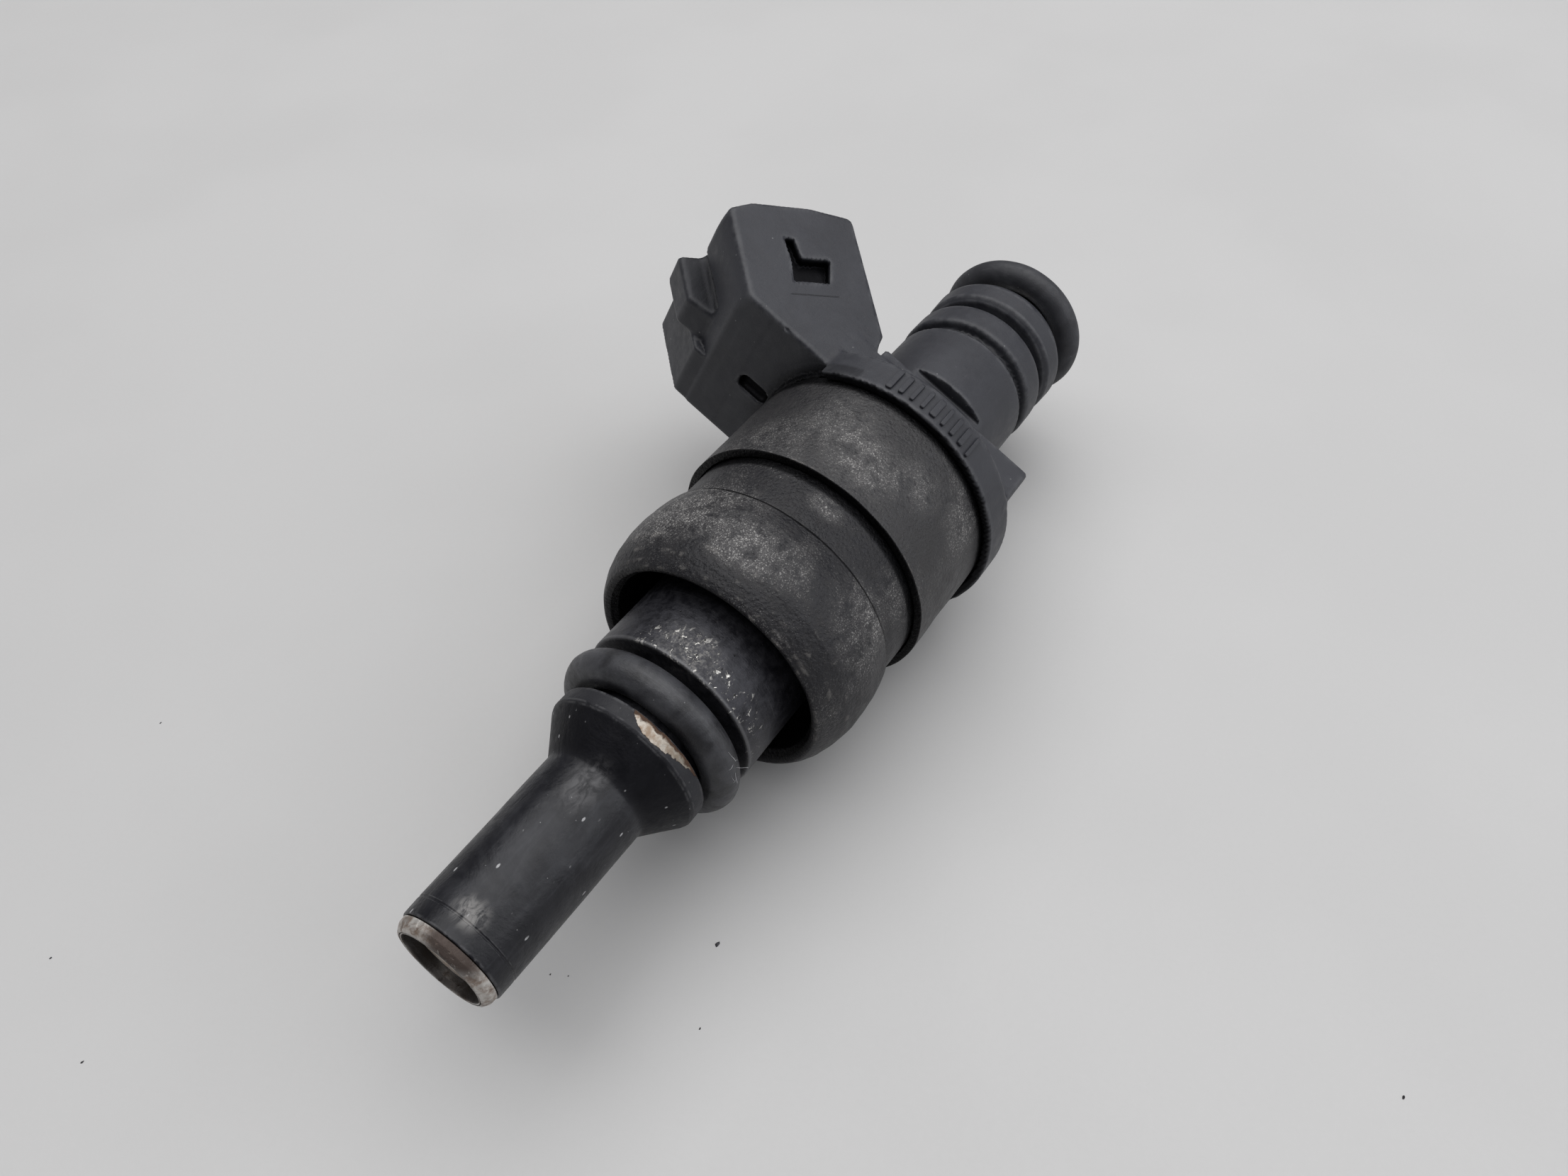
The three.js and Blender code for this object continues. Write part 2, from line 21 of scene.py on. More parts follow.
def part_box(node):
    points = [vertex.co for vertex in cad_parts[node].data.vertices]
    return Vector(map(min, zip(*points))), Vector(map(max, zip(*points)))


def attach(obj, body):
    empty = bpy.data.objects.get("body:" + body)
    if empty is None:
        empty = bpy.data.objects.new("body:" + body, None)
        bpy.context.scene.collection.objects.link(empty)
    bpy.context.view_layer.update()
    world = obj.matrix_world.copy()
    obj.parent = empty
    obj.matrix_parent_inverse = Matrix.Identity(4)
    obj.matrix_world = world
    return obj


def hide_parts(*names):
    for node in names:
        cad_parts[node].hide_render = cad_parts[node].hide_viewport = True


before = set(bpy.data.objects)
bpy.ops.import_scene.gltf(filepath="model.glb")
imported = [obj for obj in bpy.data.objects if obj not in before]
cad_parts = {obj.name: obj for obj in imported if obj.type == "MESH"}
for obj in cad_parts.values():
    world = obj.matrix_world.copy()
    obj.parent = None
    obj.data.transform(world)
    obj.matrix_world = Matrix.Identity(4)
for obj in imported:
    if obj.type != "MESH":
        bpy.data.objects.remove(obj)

log = logging.getLogger("injector")
logging.basicConfig(level=logging.INFO, format="%(message)s")

Point2 = Tuple[float, float]
Point3 = Tuple[float, float, float]
Colour = Tuple[float, float, float]
Array = np.ndarray
Material = bpy.types.Material
Mesh = bpy.types.Mesh
Piece = bpy.types.Object
Socket = bpy.types.NodeSocket
Feed = Union[Socket, float, Sequence[float]]

ROLL = math.radians(25.8)
TILT = math.radians(41.0)
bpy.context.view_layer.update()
CRUMBS: Tuple[Point3, ...] = (
    (-0.02391, -0.01561, 0.00028), (-0.05033, 0.02212, 0.00013), (-0.05346, 0.01408, 0.00014),
    (-0.00782, -0.05811, 0.00018), (-0.0336, 0.03236, 0.00012), (-0.03201, -0.00736, 0.0001),
    (-0.03141, -0.00846, 9e-05), (-0.02929, -0.01809, 0.00012))


class Body(Enum):
    """The rigid bodies that the pieces ride on."""

    HOUSING = "housing"
    PLUNGER = "plunger"


class Slot(Enum):
    """The record's material slots."""

    BLACK_PLASTIC = "black_plastic"
    NOSE_PLASTIC = "nose_plastic"
    COATED_STEEL = "coated_steel"
    GUNMETAL = "gunmetal"
    WORN_STEEL = "worn_steel"
    BRIGHT_STEEL = "bright_steel"
    RUBBER = "rubber"
    BRASS = "brass"
    COPPER = "copper_wire"
    NYLON = "nylon"


# ---- placement


@dataclass(frozen=True)
class Placement:
    """Where the injector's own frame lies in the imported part's frame.

    Attributes:
        origin: The injector frame's origin in the part's frame, in metres.
        roll: Turn about x from the injector's frame to the part's, in radians.
    """

    origin: Point3
    roll: float = ROLL

    @classmethod
    def from_can(cls, can_middle: float = 7.555) -> "Placement":
        """Finds the placement from the coil can's box.

        Args:
            can_middle: The can's middle along the injector, in mm.

        Returns:
            The placement of the whole injector.
        """
        low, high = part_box("coil_can")
        middle = (low + high) / 2
        return cls((middle.x - can_middle / 1000, middle.y, middle.z))

    def matrix(self) -> Matrix:
        """Millimetres in the injector's frame to metres in the part's."""
        turn = Matrix.Rotation(self.roll, 4, "X")
        return Matrix.Translation(Vector(self.origin)) @ turn @ Matrix.Scale(0.001, 4)

    def inverse_location(self) -> Point3:
        """Offset, in mm, that brings turned part coordinates to the injector's frame."""
        turned = Matrix.Rotation(-self.roll, 4, "X") @ (Vector(self.origin) * -1000)
        return (turned.x, turned.y, turned.z)


PLACE = Placement.from_can()


# ---- meshes


def oriented(points: Array, faces: List[Tuple[int, ...]]) -> List[Tuple[int, ...]]:
    """Turns every face round if the closed shell is inside out.

    Args:
        points: Vertex positions.
        faces: Vertex numbers of each face.

    Returns:
        Faces whose normals point outwards.
    """
    volume = 0.0
    for loop in faces:
        a = points[loop[0]]
        for i in range(1, len(loop) - 1):
            volume += float(np.dot(a, np.cross(points[loop[i]], points[loop[i + 1]])))
    return faces if volume > 0 else [tuple(reversed(loop)) for loop in faces]


def add_values(mesh: Mesh, name: str, values: Array) -> None:
    """Stores one number for each vertex under a name that materials can read."""
    layer = mesh.attributes.new(name, "FLOAT", "POINT")
    layer.data.foreach_set("value", np.asarray(values, np.float32))


def linked(name: str, data: bpy.types.ID) -> Piece:
    """Adds an object with the given data to the scene."""
    thing = bpy.data.objects.new(name, data)
    bpy.context.scene.collection.objects.link(thing)
    return thing


def taken(carrier: Piece) -> Mesh:
    """Takes the mesh that an object's modifiers give and removes the object."""
    seed_mesh = carrier.data
    depsgraph = bpy.context.evaluated_depsgraph_get()
    mesh = bpy.data.meshes.new_from_object(carrier.evaluated_get(depsgraph))
    bpy.data.objects.remove(carrier)
    bpy.data.meshes.remove(seed_mesh)
    return mesh


def raw_mesh(name: str, points: Sequence[Point3], faces: Sequence[Sequence[int]]) -> Mesh:
    """Makes a mesh from its points and faces."""
    mesh = bpy.data.meshes.new(name)
    mesh.from_pydata(points, [], faces)
    return mesh


def fit_out(name: str, mesh: Mesh, material: Material, slot: Slot, *nodes: str,
            body: Body = Body.HOUSING, crease_deg: float = 38.0) -> Piece:
    """Makes a piece of a millimetre mesh: placed, dressed and riding its body.

    Args:
        name: The piece's name.
        mesh: Mesh in the injector's own frame.
        material: Finish of the whole piece.
        slot: Not used.
        nodes: CAD nodes that it stands for.
        body: Body that it moves with.
        crease_deg: Edges that turn more than this stay sharp; 0 keeps the mesh's own normals.

    Returns:
        The finished object.
    """
    mesh.transform(PLACE.matrix())
    mesh.name = name
    if crease_deg > 0:
        mesh.polygons.foreach_set("use_smooth", [True] * len(mesh.polygons))
        mesh.set_sharp_from_angle(angle=math.radians(crease_deg))
    mesh.materials.clear()
    mesh.materials.append(material)
    piece = linked(name, mesh)
    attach(piece, body.value)
    if nodes:
        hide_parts(*nodes)
    log.info("%-20s %7d faces on %s", name, len(mesh.polygons), body.value)
    return piece


@dataclass(frozen=True)
class Corner:
    """One corner of a turned profile.

    Attributes:
        x: Place along the injector, in mm.
        r: Radius, in mm.
        soft: Radius of the rounding at this corner, in mm.
    """

    x: float
    r: float
    soft: float = 0.06


def rounded(corners: Sequence[Corner], steps: int = 4) -> Tuple[List[Point2], List[float]]:
    """Rounds the corners of a closed profile.

    Args:
        corners: Corners in order; the profile closes on itself.
        steps: Segments in each rounding.

    Returns:
        The profile's points and, for each, how far it stands on an outward edge, 0 to 1.
    """
    area = sum(a.x * b.r - b.x * a.r for a, b in zip(corners, list(corners[1:]) + [corners[0]]))
    points: List[Point2] = []
    edges: List[float] = []
    count = len(corners)
    for i, corner in enumerate(corners):
        at = np.array([corner.x, corner.r])
        before = np.array([corners[i - 1].x, corners[i - 1].r]) - at
        after = np.array([corners[(i + 1) % count].x, corners[(i + 1) % count].r]) - at
        reach_before, reach_after = np.linalg.norm(before), np.linalg.norm(after)
        if corner.r <= 1e-6 or corner.soft <= 0 or min(reach_before, reach_after) < 1e-6:
            points.append((corner.x, corner.r))
            edges.append(0.0)
            continue
        u, v = before / reach_before, after / reach_after
        turn = u[0] * v[1] - u[1] * v[0]
        outward = 1.0 if turn * area < 0 and abs(turn) > 0.15 else 0.0
        half = math.acos(float(np.clip(np.dot(u, v), -0.9999, 0.9999))) / 2
        reach = min(corner.soft / math.tan(half), 0.46 * reach_before, 0.46 * reach_after)
        start, end = at + u * reach, at + v * reach
        rim = min(0.14, 0.45 * (reach_before - reach), 0.45 * (reach_after - reach))
        points.append(tuple(start + u * rim))
        edges.append(0.0)
        for k in range(steps + 1):
            t = k / steps
            a, b = start + (at - start) * t, at + (end - at) * t
            points.append(tuple(a + (b - a) * t))
            edges.append(outward)
        points.append(tuple(end + v * rim))
        edges.append(0.0)
    return points, edges


def wander(points: Array, scale: float, seed: int) -> Array:
    """Smooth random value between 0 and 1 at each point.

    Args:
        points: Positions, in mm.
        scale: Typical size of a swell, in mm.
        seed: Number that fixes the pattern.

    Returns:
        One value for each point.
    """
    rng = np.random.default_rng(seed)
    total = np.zeros(len(points))
    for _ in range(14):
        way = rng.normal(size=3)
        way *= 2 * math.pi / (scale * rng.uniform(0.7, 1.7) * np.linalg.norm(way))
        total += np.sin(points @ way + rng.uniform(0, 2 * math.pi))
    return np.clip(0.5 + total / 14, 0, 1)


@dataclass
class Turned:
    """A piece turned about the injector's axis.

    Attributes:
        name: The piece's name.
        profile: Corners (x, r, soft) in order; its ends may stand on the axis.
        sides: Segments round the axis.
        step: Longest stretch along the profile without a ring of points, in mm; 0 for any.
        dent: Depth of the piece's gentle unevenness, in mm, always inwards.
        dent_size: Size of one swell, in mm.
        seed: Number that fixes the unevenness.
    """

    name: str
    profile: Sequence[Tuple[float, ...]]
    sides: int = 128
    step: float = 0.0
    dent: float = 0.0
    dent_size: float = 6.0
    seed: int = 1

    def outline(self) -> Tuple[Array, Array]:
        """Rounded profile with its long stretches cut up.

        Returns:
            Points (x, r) and the outward-edge value of each.
        """
        points, edges = rounded([Corner(*corner) for corner in self.profile])
        if self.step <= 0:
            return np.array(points), np.array(edges)
        out: List[Point2] = []
        marks: List[float] = []
        for i, (a, mark) in enumerate(zip(points, edges)):
            out.append(a)
            marks.append(mark)
            b = points[(i + 1) % len(points)]
            if a[1] <= 1e-6 and b[1] <= 1e-6:
                continue
            pieces = int(math.hypot(b[0] - a[0], b[1] - a[1]) / self.step)
            for k in range(1, pieces + 1):
                t = k / (pieces + 1)
                out.append((a[0] + (b[0] - a[0]) * t, a[1] + (b[1] - a[1]) * t))
                marks.append(mark * (1 - t) + edges[(i + 1) % len(points)] * t)
        return np.array(out), np.array(marks)

    def mesh(self) -> Mesh:
        """Turns the profile into a closed mesh, in mm."""
        outline, marks = self.outline()
        angles = np.arange(self.sides) * 2 * math.pi / self.sides
        points: List[Point3] = []
        values: List[float] = []
        rings: List[List[int]] = []
        for (x, r), mark in zip(outline, marks):
            if r <= 1e-6:
                rings.append([len(points)])
                points.append((x, 0.0, 0.0))
                values.append(mark)
                continue
            first = len(points)
            rings.append(list(range(first, first + self.sides)))
            points.extend((x, r * math.cos(a), r * math.sin(a)) for a in angles)
            values.extend([mark] * self.sides)
        faces: List[Tuple[int, ...]] = []
        for i, ring in enumerate(rings):
            other = rings[(i + 1) % len(rings)]
            if len(ring) == 1 and len(other) == 1:
                continue
            for k in range(self.sides):
                n = (k + 1) % self.sides
                if len(ring) == 1:
                    faces.append((ring[0], other[n], other[k]))
                elif len(other) == 1:
                    faces.append((ring[k], ring[n], other[0]))
                else:
                    faces.append((ring[k], ring[n], other[n], other[k]))
        place = np.array(points)
        if self.dent > 0:
            drop = self.dent * wander(place, self.dent_size, self.seed)
            radius = np.maximum(np.hypot(place[:, 1], place[:, 2]), 1e-6)
            place[:, 1:] *= (1 - drop / radius)[:, None]
        shell = raw_mesh(self.name, place.tolist(), oriented(place, faces))
        add_values(shell, "edge", np.array(values))
        return shell

    def build(self, material: Material, slot: Slot, *nodes: str,
              body: Body = Body.HOUSING) -> Piece:
        """Builds the piece in its finish; the rest is as in fit_out."""
        return fit_out(self.name, self.mesh(), material, slot, *nodes, body=body)


# ---- solid fields


def polygon_field(u: Array, v: Array, corners: Sequence[Point2]) -> Array:
    """Signed distance to a closed polygon, below zero inside.

    Args:
        u: First coordinate of each point.
        v: Second coordinate of each point.
        corners: The polygon's corners in order.

    Returns:
        Distance of each point.
    """
    nearest = np.full(u.shape, 1e12)
    inside = np.zeros(u.shape, bool)
    for i, (ax, ay) in enumerate(corners):
        bx, by = corners[(i + 1) % len(corners)]
        ex, ey = bx - ax, by - ay
        if ex * ex + ey * ey < 1e-14:
            continue
        wx, wy = u - ax, v - ay
        t = np.clip((wx * ex + wy * ey) / (ex * ex + ey * ey), 0, 1)
        nearest = np.minimum(nearest, (wx - t * ex) ** 2 + (wy - t * ey) ** 2)
        if ey != 0:
            inside ^= ((ay > v) != (by > v)) & (u < ax + (v - ay) * ex / ey)
    return np.where(inside, -1.0, 1.0) * np.sqrt(nearest)


def thickened(flat: Array, across: Array, half: float, soft: float) -> Array:
    """Gives a flat field a thickness, with its long edges rounded.

    Args:
        flat: Signed distance in the plane.
        across: Distance from the middle plane.
        half: Half the thickness.
        soft: Radius of the rounded edges.

    Returns:
        Signed distance of the solid.
    """
    a, b = flat + soft, np.abs(across) - half + soft
    return np.minimum(np.maximum(a, b), 0) + np.hypot(np.maximum(a, 0), np.maximum(b, 0)) - soft


def fuse(a: Array, b: Array, soft: float) -> Array:
    """Joins two solids with a fillet of about the given size."""
    near = np.maximum(soft - np.abs(a - b), 0) / soft
    return np.minimum(a, b) - near * near * soft * 0.25


def carve(a: Array, b: Array, soft: float) -> Array:
    """Takes solid b out of solid a and rounds the edge that this leaves."""
    return -fuse(-a, b, soft)


def common(a: Array, b: Array, soft: float) -> Array:
    """Keeps what two solids share and rounds the edge where they meet."""
    return -fuse(-a, -b, soft)


def box_field(points: Array, low: Point3, high: Point3, soft: float = 0.0) -> Array:
    """Signed distance to a box with rounded edges."""
    middle = (np.array(low) + np.array(high)) / 2
    half = (np.array(high) - np.array(low)) / 2 - soft
    q = np.abs(points - middle) - half
    return np.minimum(q.max(1), 0) + np.linalg.norm(np.maximum(q, 0), axis=1) - soft


@dataclass
class FieldSkin:
    """Puts an even skin of four-sided faces on the zero level of a solid field.

    Attributes:
        solid: Gives the signed distance of each point, in mm.
        low: Lowest corner of the search box.
        high: Highest corner of the search box.
        step: Size of one face, in mm.
        block: Steps in one block of the coarse first look.
    """

    solid: Callable[[Array], Array]
    low: Point3
    high: Point3
    step: float = 0.25
    block: int = 4

    def grid(self) -> Array:
        """Values on the whole grid, exact only in blocks near the surface."""
        coarse = self.step * self.block
        counts = [int(math.ceil((b - a) / coarse)) for a, b in zip(self.low, self.high)]
        axes = [a + coarse * (np.arange(n) + 0.5) for a, n in zip(self.low, counts)]
        centres = np.stack(np.meshgrid(*axes, indexing="ij"), -1).reshape(-1, 3)
        rough = self.solid(centres).reshape(counts)
        values = np.repeat(np.repeat(np.repeat(rough, self.block, 0), self.block, 1),
                           self.block, 2)
        near = np.argwhere(np.abs(rough) < coarse * 1.25)
        offsets = np.array(list(product(range(self.block), repeat=3)))
        cells = (near[:, None, :] * self.block + offsets[None]).reshape(-1, 3)
        exact = self.solid(np.array(self.low) + self.step * cells)
        values[cells[:, 0], cells[:, 1], cells[:, 2]] = exact
        return values

    def skin(self) -> Tuple[Array, Array]:
        """Finds one point in each cell that the surface crosses, and the faces between them.

        Returns:
            Points, in mm, and the four point numbers of each face.
        """
        values = self.grid()
        shape = np.array(values.shape) - 1
        shifts = list(product((0, 1), repeat=3))
        corner = {s: values[s[0]:shape[0] + s[0], s[1]:shape[1] + s[1], s[2]:shape[2] + s[2]]
                  for s in shifts}
        inside = sum((corner[s] < 0).astype(np.int8) for s in shifts)
        cells = np.argwhere((inside > 0) & (inside < 8))
        index = -np.ones(shape, np.int64)
        index[tuple(cells.T)] = np.arange(len(cells))
        total, crossings = np.zeros((len(cells), 3)), np.zeros(len(cells))
        for s in shifts:
            for axis in range(3):
                if s[axis]:
                    continue
                e = tuple(v + (1 if k == axis else 0) for k, v in enumerate(s))
                a = values[tuple((cells + s).T)]
                b = values[tuple((cells + e).T)]
                hit = (a < 0) != (b < 0)
                t = np.where(hit, a / np.where(hit, a - b, 1), 0)
                spot = np.tile(np.array(s, float), (len(cells), 1))
                spot[:, axis] += t
                total += np.where(hit[:, None], spot, 0)
                crossings += hit
        points = np.array(self.low) + self.step * (cells + total / crossings[:, None])
        faces: List[Array] = []
        for axis in range(3):
            u, v = [k for k in range(3) if k != axis]
            near_end = values[tuple(slice(0, -1) if k == axis else slice(None) for k in range(3))]
            far_end = values[tuple(slice(1, None) if k == axis else slice(None) for k in range(3))]
            edges = np.argwhere((near_end < 0) != (far_end < 0))
            keep = np.all([(edges[:, k] > 0) & (edges[:, k] < shape[k]) for k in (u, v)], axis=0)
            edges = edges[keep]
            ring = []
            for du, dv in ((-1, -1), (0, -1), (0, 0), (-1, 0)):
                cell = edges.copy()
                cell[:, u] += du
                cell[:, v] += dv
                ring.append(index[tuple(cell.T)])
            quads = np.stack(ring, 1)
            leaving = near_end[tuple(edges.T)] < 0
            flip = leaving if axis != 1 else ~leaving
            quads[~flip] = quads[~flip][:, ::-1]
            faces.append(quads)
        return points, np.concatenate(faces)

    def slope(self, points: Array, reach: float = 0.02) -> Array:
        """Direction in which the field grows at each point, with its size."""
        out = np.zeros_like(points)
        for axis in range(3):
            ahead, behind = points.copy(), points.copy()
            ahead[:, axis] += reach
            behind[:, axis] -= reach
            out[:, axis] = (self.solid(ahead) - self.solid(behind)) / (2 * reach)
        return out

    def bend(self, points: Array, reach: float = 0.4) -> Array:
        """How strongly the surface turns: above 0 on outward edges, below 0 in corners."""
        total = np.zeros(len(points))
        for axis in range(3):
            for way in (-reach, reach):
                moved = points.copy()
                moved[:, axis] += way
                total += self.solid(moved)
        return total / (6 * reach)

    def mesh(self, name: str) -> Mesh:
        """Builds the skin as a mesh with exact normals and its edge and corner values.

        Args:
            name: Name of the mesh.

        Returns:
            Mesh in the injector's own frame, in mm.
        """
        points, faces = self.skin()
        for _ in range(3):
            value, slope = self.solid(points), self.slope(points)
            size = np.maximum((slope ** 2).sum(1), 0.25)
            move = -(value / size)[:, None] * slope
            length = np.maximum(np.linalg.norm(move, axis=1), 1e-9)
            points = points + move * np.minimum(1, 0.4 * self.step / length)[:, None]
        normals = self.slope(points)
        normals /= np.maximum(np.linalg.norm(normals, axis=1), 1e-9)[:, None]
        turn = self.bend(points)
        shell = raw_mesh(name, points.tolist(), faces.tolist())
        shell.polygons.foreach_set("use_smooth", [True] * len(shell.polygons))
        add_values(shell, "edge", np.clip(turn * 7 - 0.1, 0, 1))
        add_values(shell, "corner", np.clip(-turn * 7 - 0.1, 0, 1))
        shell.normals_split_custom_set_from_vertices(normals.tolist())
        return shell


# ---- node benches


class Bench:
    """Adds nodes to one node tree and feeds them."""

    def __init__(self, tree: bpy.types.NodeTree) -> None:
        """Takes the tree to work on."""
        self.tree = tree

    def feed(self, socket: Socket, value: Feed) -> None:
        """Links or sets one input."""
        if isinstance(value, Socket):
            self.tree.links.new(value, socket)
        elif isinstance(value, (tuple, list)) and socket.type == "RGBA" and len(value) == 3:
            socket.default_value = (*value, 1.0)
        else:
            socket.default_value = value

    def node(self, kind: str, feeds: Optional[Dict[Union[str, int], Feed]] = None,
             **settings: object) -> bpy.types.Node:
        """Adds a node.

        Args:
            kind: The node's type.
            feeds: Its inputs by name or number, linked or set.
            settings: Its own settings.

        Returns:
            The node.
        """
        node = self.tree.nodes.new(kind)
        for key, value in settings.items():
            setattr(node, key, value)
        for key, value in (feeds or {}).items():
            self.feed(node.inputs[key], value)
        return node

    def out(self, kind: str, feeds: Optional[Dict[Union[str, int], Feed]] = None,
            **settings: object) -> Socket:
        """Adds a node and gives its first output."""
        return self.node(kind, feeds, **settings).outputs[0]

    def calc(self, operation: str, a: Feed, b: Feed = 0.0, clamp: bool = False) -> Socket:
        """One arithmetic step."""
        return self.out("ShaderNodeMath", {0: a, 1: b}, operation=operation, use_clamp=clamp)

    def plus(self, a: Feed, b: Feed, clamp: bool = False) -> Socket:
        """Sum of two values."""
        return self.calc("ADD", a, b, clamp)

    def minus(self, a: Feed, b: Feed) -> Socket:
        """Difference of two values."""
        return self.calc("SUBTRACT", a, b)

    def times(self, *values: Feed) -> Socket:
        """Product of several values."""
        return reduce(lambda a, b: self.calc("MULTIPLY", a, b), values)

    def most(self, *values: Feed) -> Socket:
        """Largest of several values."""
        return reduce(lambda a, b: self.calc("MAXIMUM", a, b), values)


class ShadeBench(Bench):
    """Lays out one procedural material, node by node.

    Attributes:
        colour: What is painted so far.
        relief: The surface's direction with the relief laid so far.
    """

    def __init__(self, name: str) -> None:
        """Starts an empty material with one shader and its output."""
        self.material = bpy.data.materials.new(name)
        self.material.use_nodes = True
        super().__init__(self.material.node_tree)
        self.tree.nodes.clear()
        self.shader = self.node("ShaderNodeBsdfPrincipled")
        self.node("ShaderNodeOutputMaterial", {"Surface": self.shader.outputs["BSDF"]})
        self.colour: Feed = (0.0, 0.0, 0.0)
        self.relief: Optional[Socket] = None
        self._coords: Optional[Socket] = None

    def coords(self) -> Socket:
        """Object coordinates brought to the injector's own frame, in mm."""
        if self._coords is None:
            source = self.node("ShaderNodeTexCoord").outputs["Object"]
            self._coords = self.mapped((1000, 1000, 1000), (-PLACE.roll, 0, 0),
                                       PLACE.inverse_location(), source)
        return self._coords

    def mapped(self, scale: Point3, rotation: Point3 = (0, 0, 0), move: Point3 = (0, 0, 0),
               vector: Optional[Socket] = None) -> Socket:
        """Coordinates stretched, turned and moved for a pattern with a grain."""
        return self.out("ShaderNodeMapping", {"Scale": scale, "Rotation": rotation,
                                              "Location": move,
                                              "Vector": vector or self.coords()})

    def parts(self) -> Tuple[Socket, Socket, Socket]:
        """The three coordinates, each by itself."""
        x, y, z = self.node("ShaderNodeSeparateXYZ", {0: self.coords()}).outputs
        return x, y, z

    def noise(self, scale: float, detail: float = 3, rough: float = 0.5, warp: float = 0,
              vector: Optional[Socket] = None) -> Socket:
        """Cloudy pattern between 0 and 1."""
        return self.out("ShaderNodeTexNoise", {
            "Scale": scale, "Detail": detail, "Roughness": rough, "Distortion": warp,
            "Vector": vector or self.coords()})

    def cells(self, scale: float, feature: str = "F1", vector: Optional[Socket] = None) -> Socket:
        """Distance pattern of scattered points."""
        return self.out("ShaderNodeTexVoronoi", {"Scale": scale,
                                                 "Vector": vector or self.coords()},
                        feature=feature)

    def ramp(self, value: Socket, low: float, high: float, start: float = 0.0,
             end: float = 1.0) -> Socket:
        """Smooth step from start to end while the value goes from low to high."""
        return self.out("ShaderNodeMapRange", {
            "Value": value, "From Min": low, "From Max": high, "To Min": start,
            "To Max": end}, interpolation_type="SMOOTHSTEP")

    def blend(self, factor: Feed, a: Feed, b: Feed) -> Socket:
        """Mixes two colours."""
        return self.node("ShaderNodeMix", {"Factor": factor, 6: a, 7: b},
                         data_type="RGBA").outputs[2]

    def paint(self, colour: Feed, *amounts: Feed) -> None:
        """Lays a colour over what is painted so far, as strongly as the amounts' product."""
        self.colour = self.blend(self.times(*amounts), self.colour, colour)

    def spot(self, centre: Point3, size: Point3, edge: float = 0.3) -> Socket:
        """Mask of an egg-shaped place, 1 inside and 0 outside.

        Args:
            centre: Middle of the place, in mm.
            size: Half its size each way, in mm.
            edge: Share of the size over which it fades.

        Returns:
            The mask.
        """
        scale = tuple(1 / s for s in size)
        moved = self.mapped(scale, move=tuple(-c * s for c, s in zip(centre, scale)))
        length = self.node("ShaderNodeVectorMath", {0: moved}, operation="LENGTH")
        return self.ramp(length.outputs["Value"], 1 + edge, 1 - edge)

    def around(self) -> Tuple[Socket, Socket]:
        """Angle about the axis, in degrees from the connector's side, and the place along x."""
        x, y, z = self.parts()
        return self.times(self.calc("ARCTAN2", z, y), 180 / math.pi), x

    def radius(self) -> Socket:
        """Distance from the injector's axis, in mm."""
        _, y, z = self.parts()
        return self.calc("POWER", self.plus(self.times(y, y), self.times(z, z)), 0.5)

    def band(self, value: Socket, low: float, high: float, fade: float) -> Socket:
        """1 while the value lies between low and high, fading to 0 outside."""
        return self.times(self.ramp(value, low - fade, low), self.ramp(value, high + fade, high))

    def value(self, name: str) -> Socket:
        """A number stored on the mesh."""
        return self.node("ShaderNodeAttribute", attribute_name=name).outputs["Fac"]

    def bump(self, *layers: Tuple[Socket, float]) -> None:
        """Lays relief over what is there, each layer a height and its depth in mm."""
        for height, depth in layers:
            feeds = {"Strength": 1.0, "Distance": depth / 1000, "Height": height}
            if self.relief is not None:
                feeds["Normal"] = self.relief
            self.relief = self.out("ShaderNodeBump", feeds)

    def finish(self, **inputs: Feed) -> Material:
        """Feeds the shader what is painted and laid, and its other inputs.

        Args:
            inputs: Shader inputs by name; underscores stand for spaces.

        Returns:
            The finished material.
        """
        for key, value in (("Base Color", self.colour), ("Normal", self.relief),
                           *inputs.items()):
            self.feed(self.shader.inputs[key.replace("_", " ")], value)
        return self.material


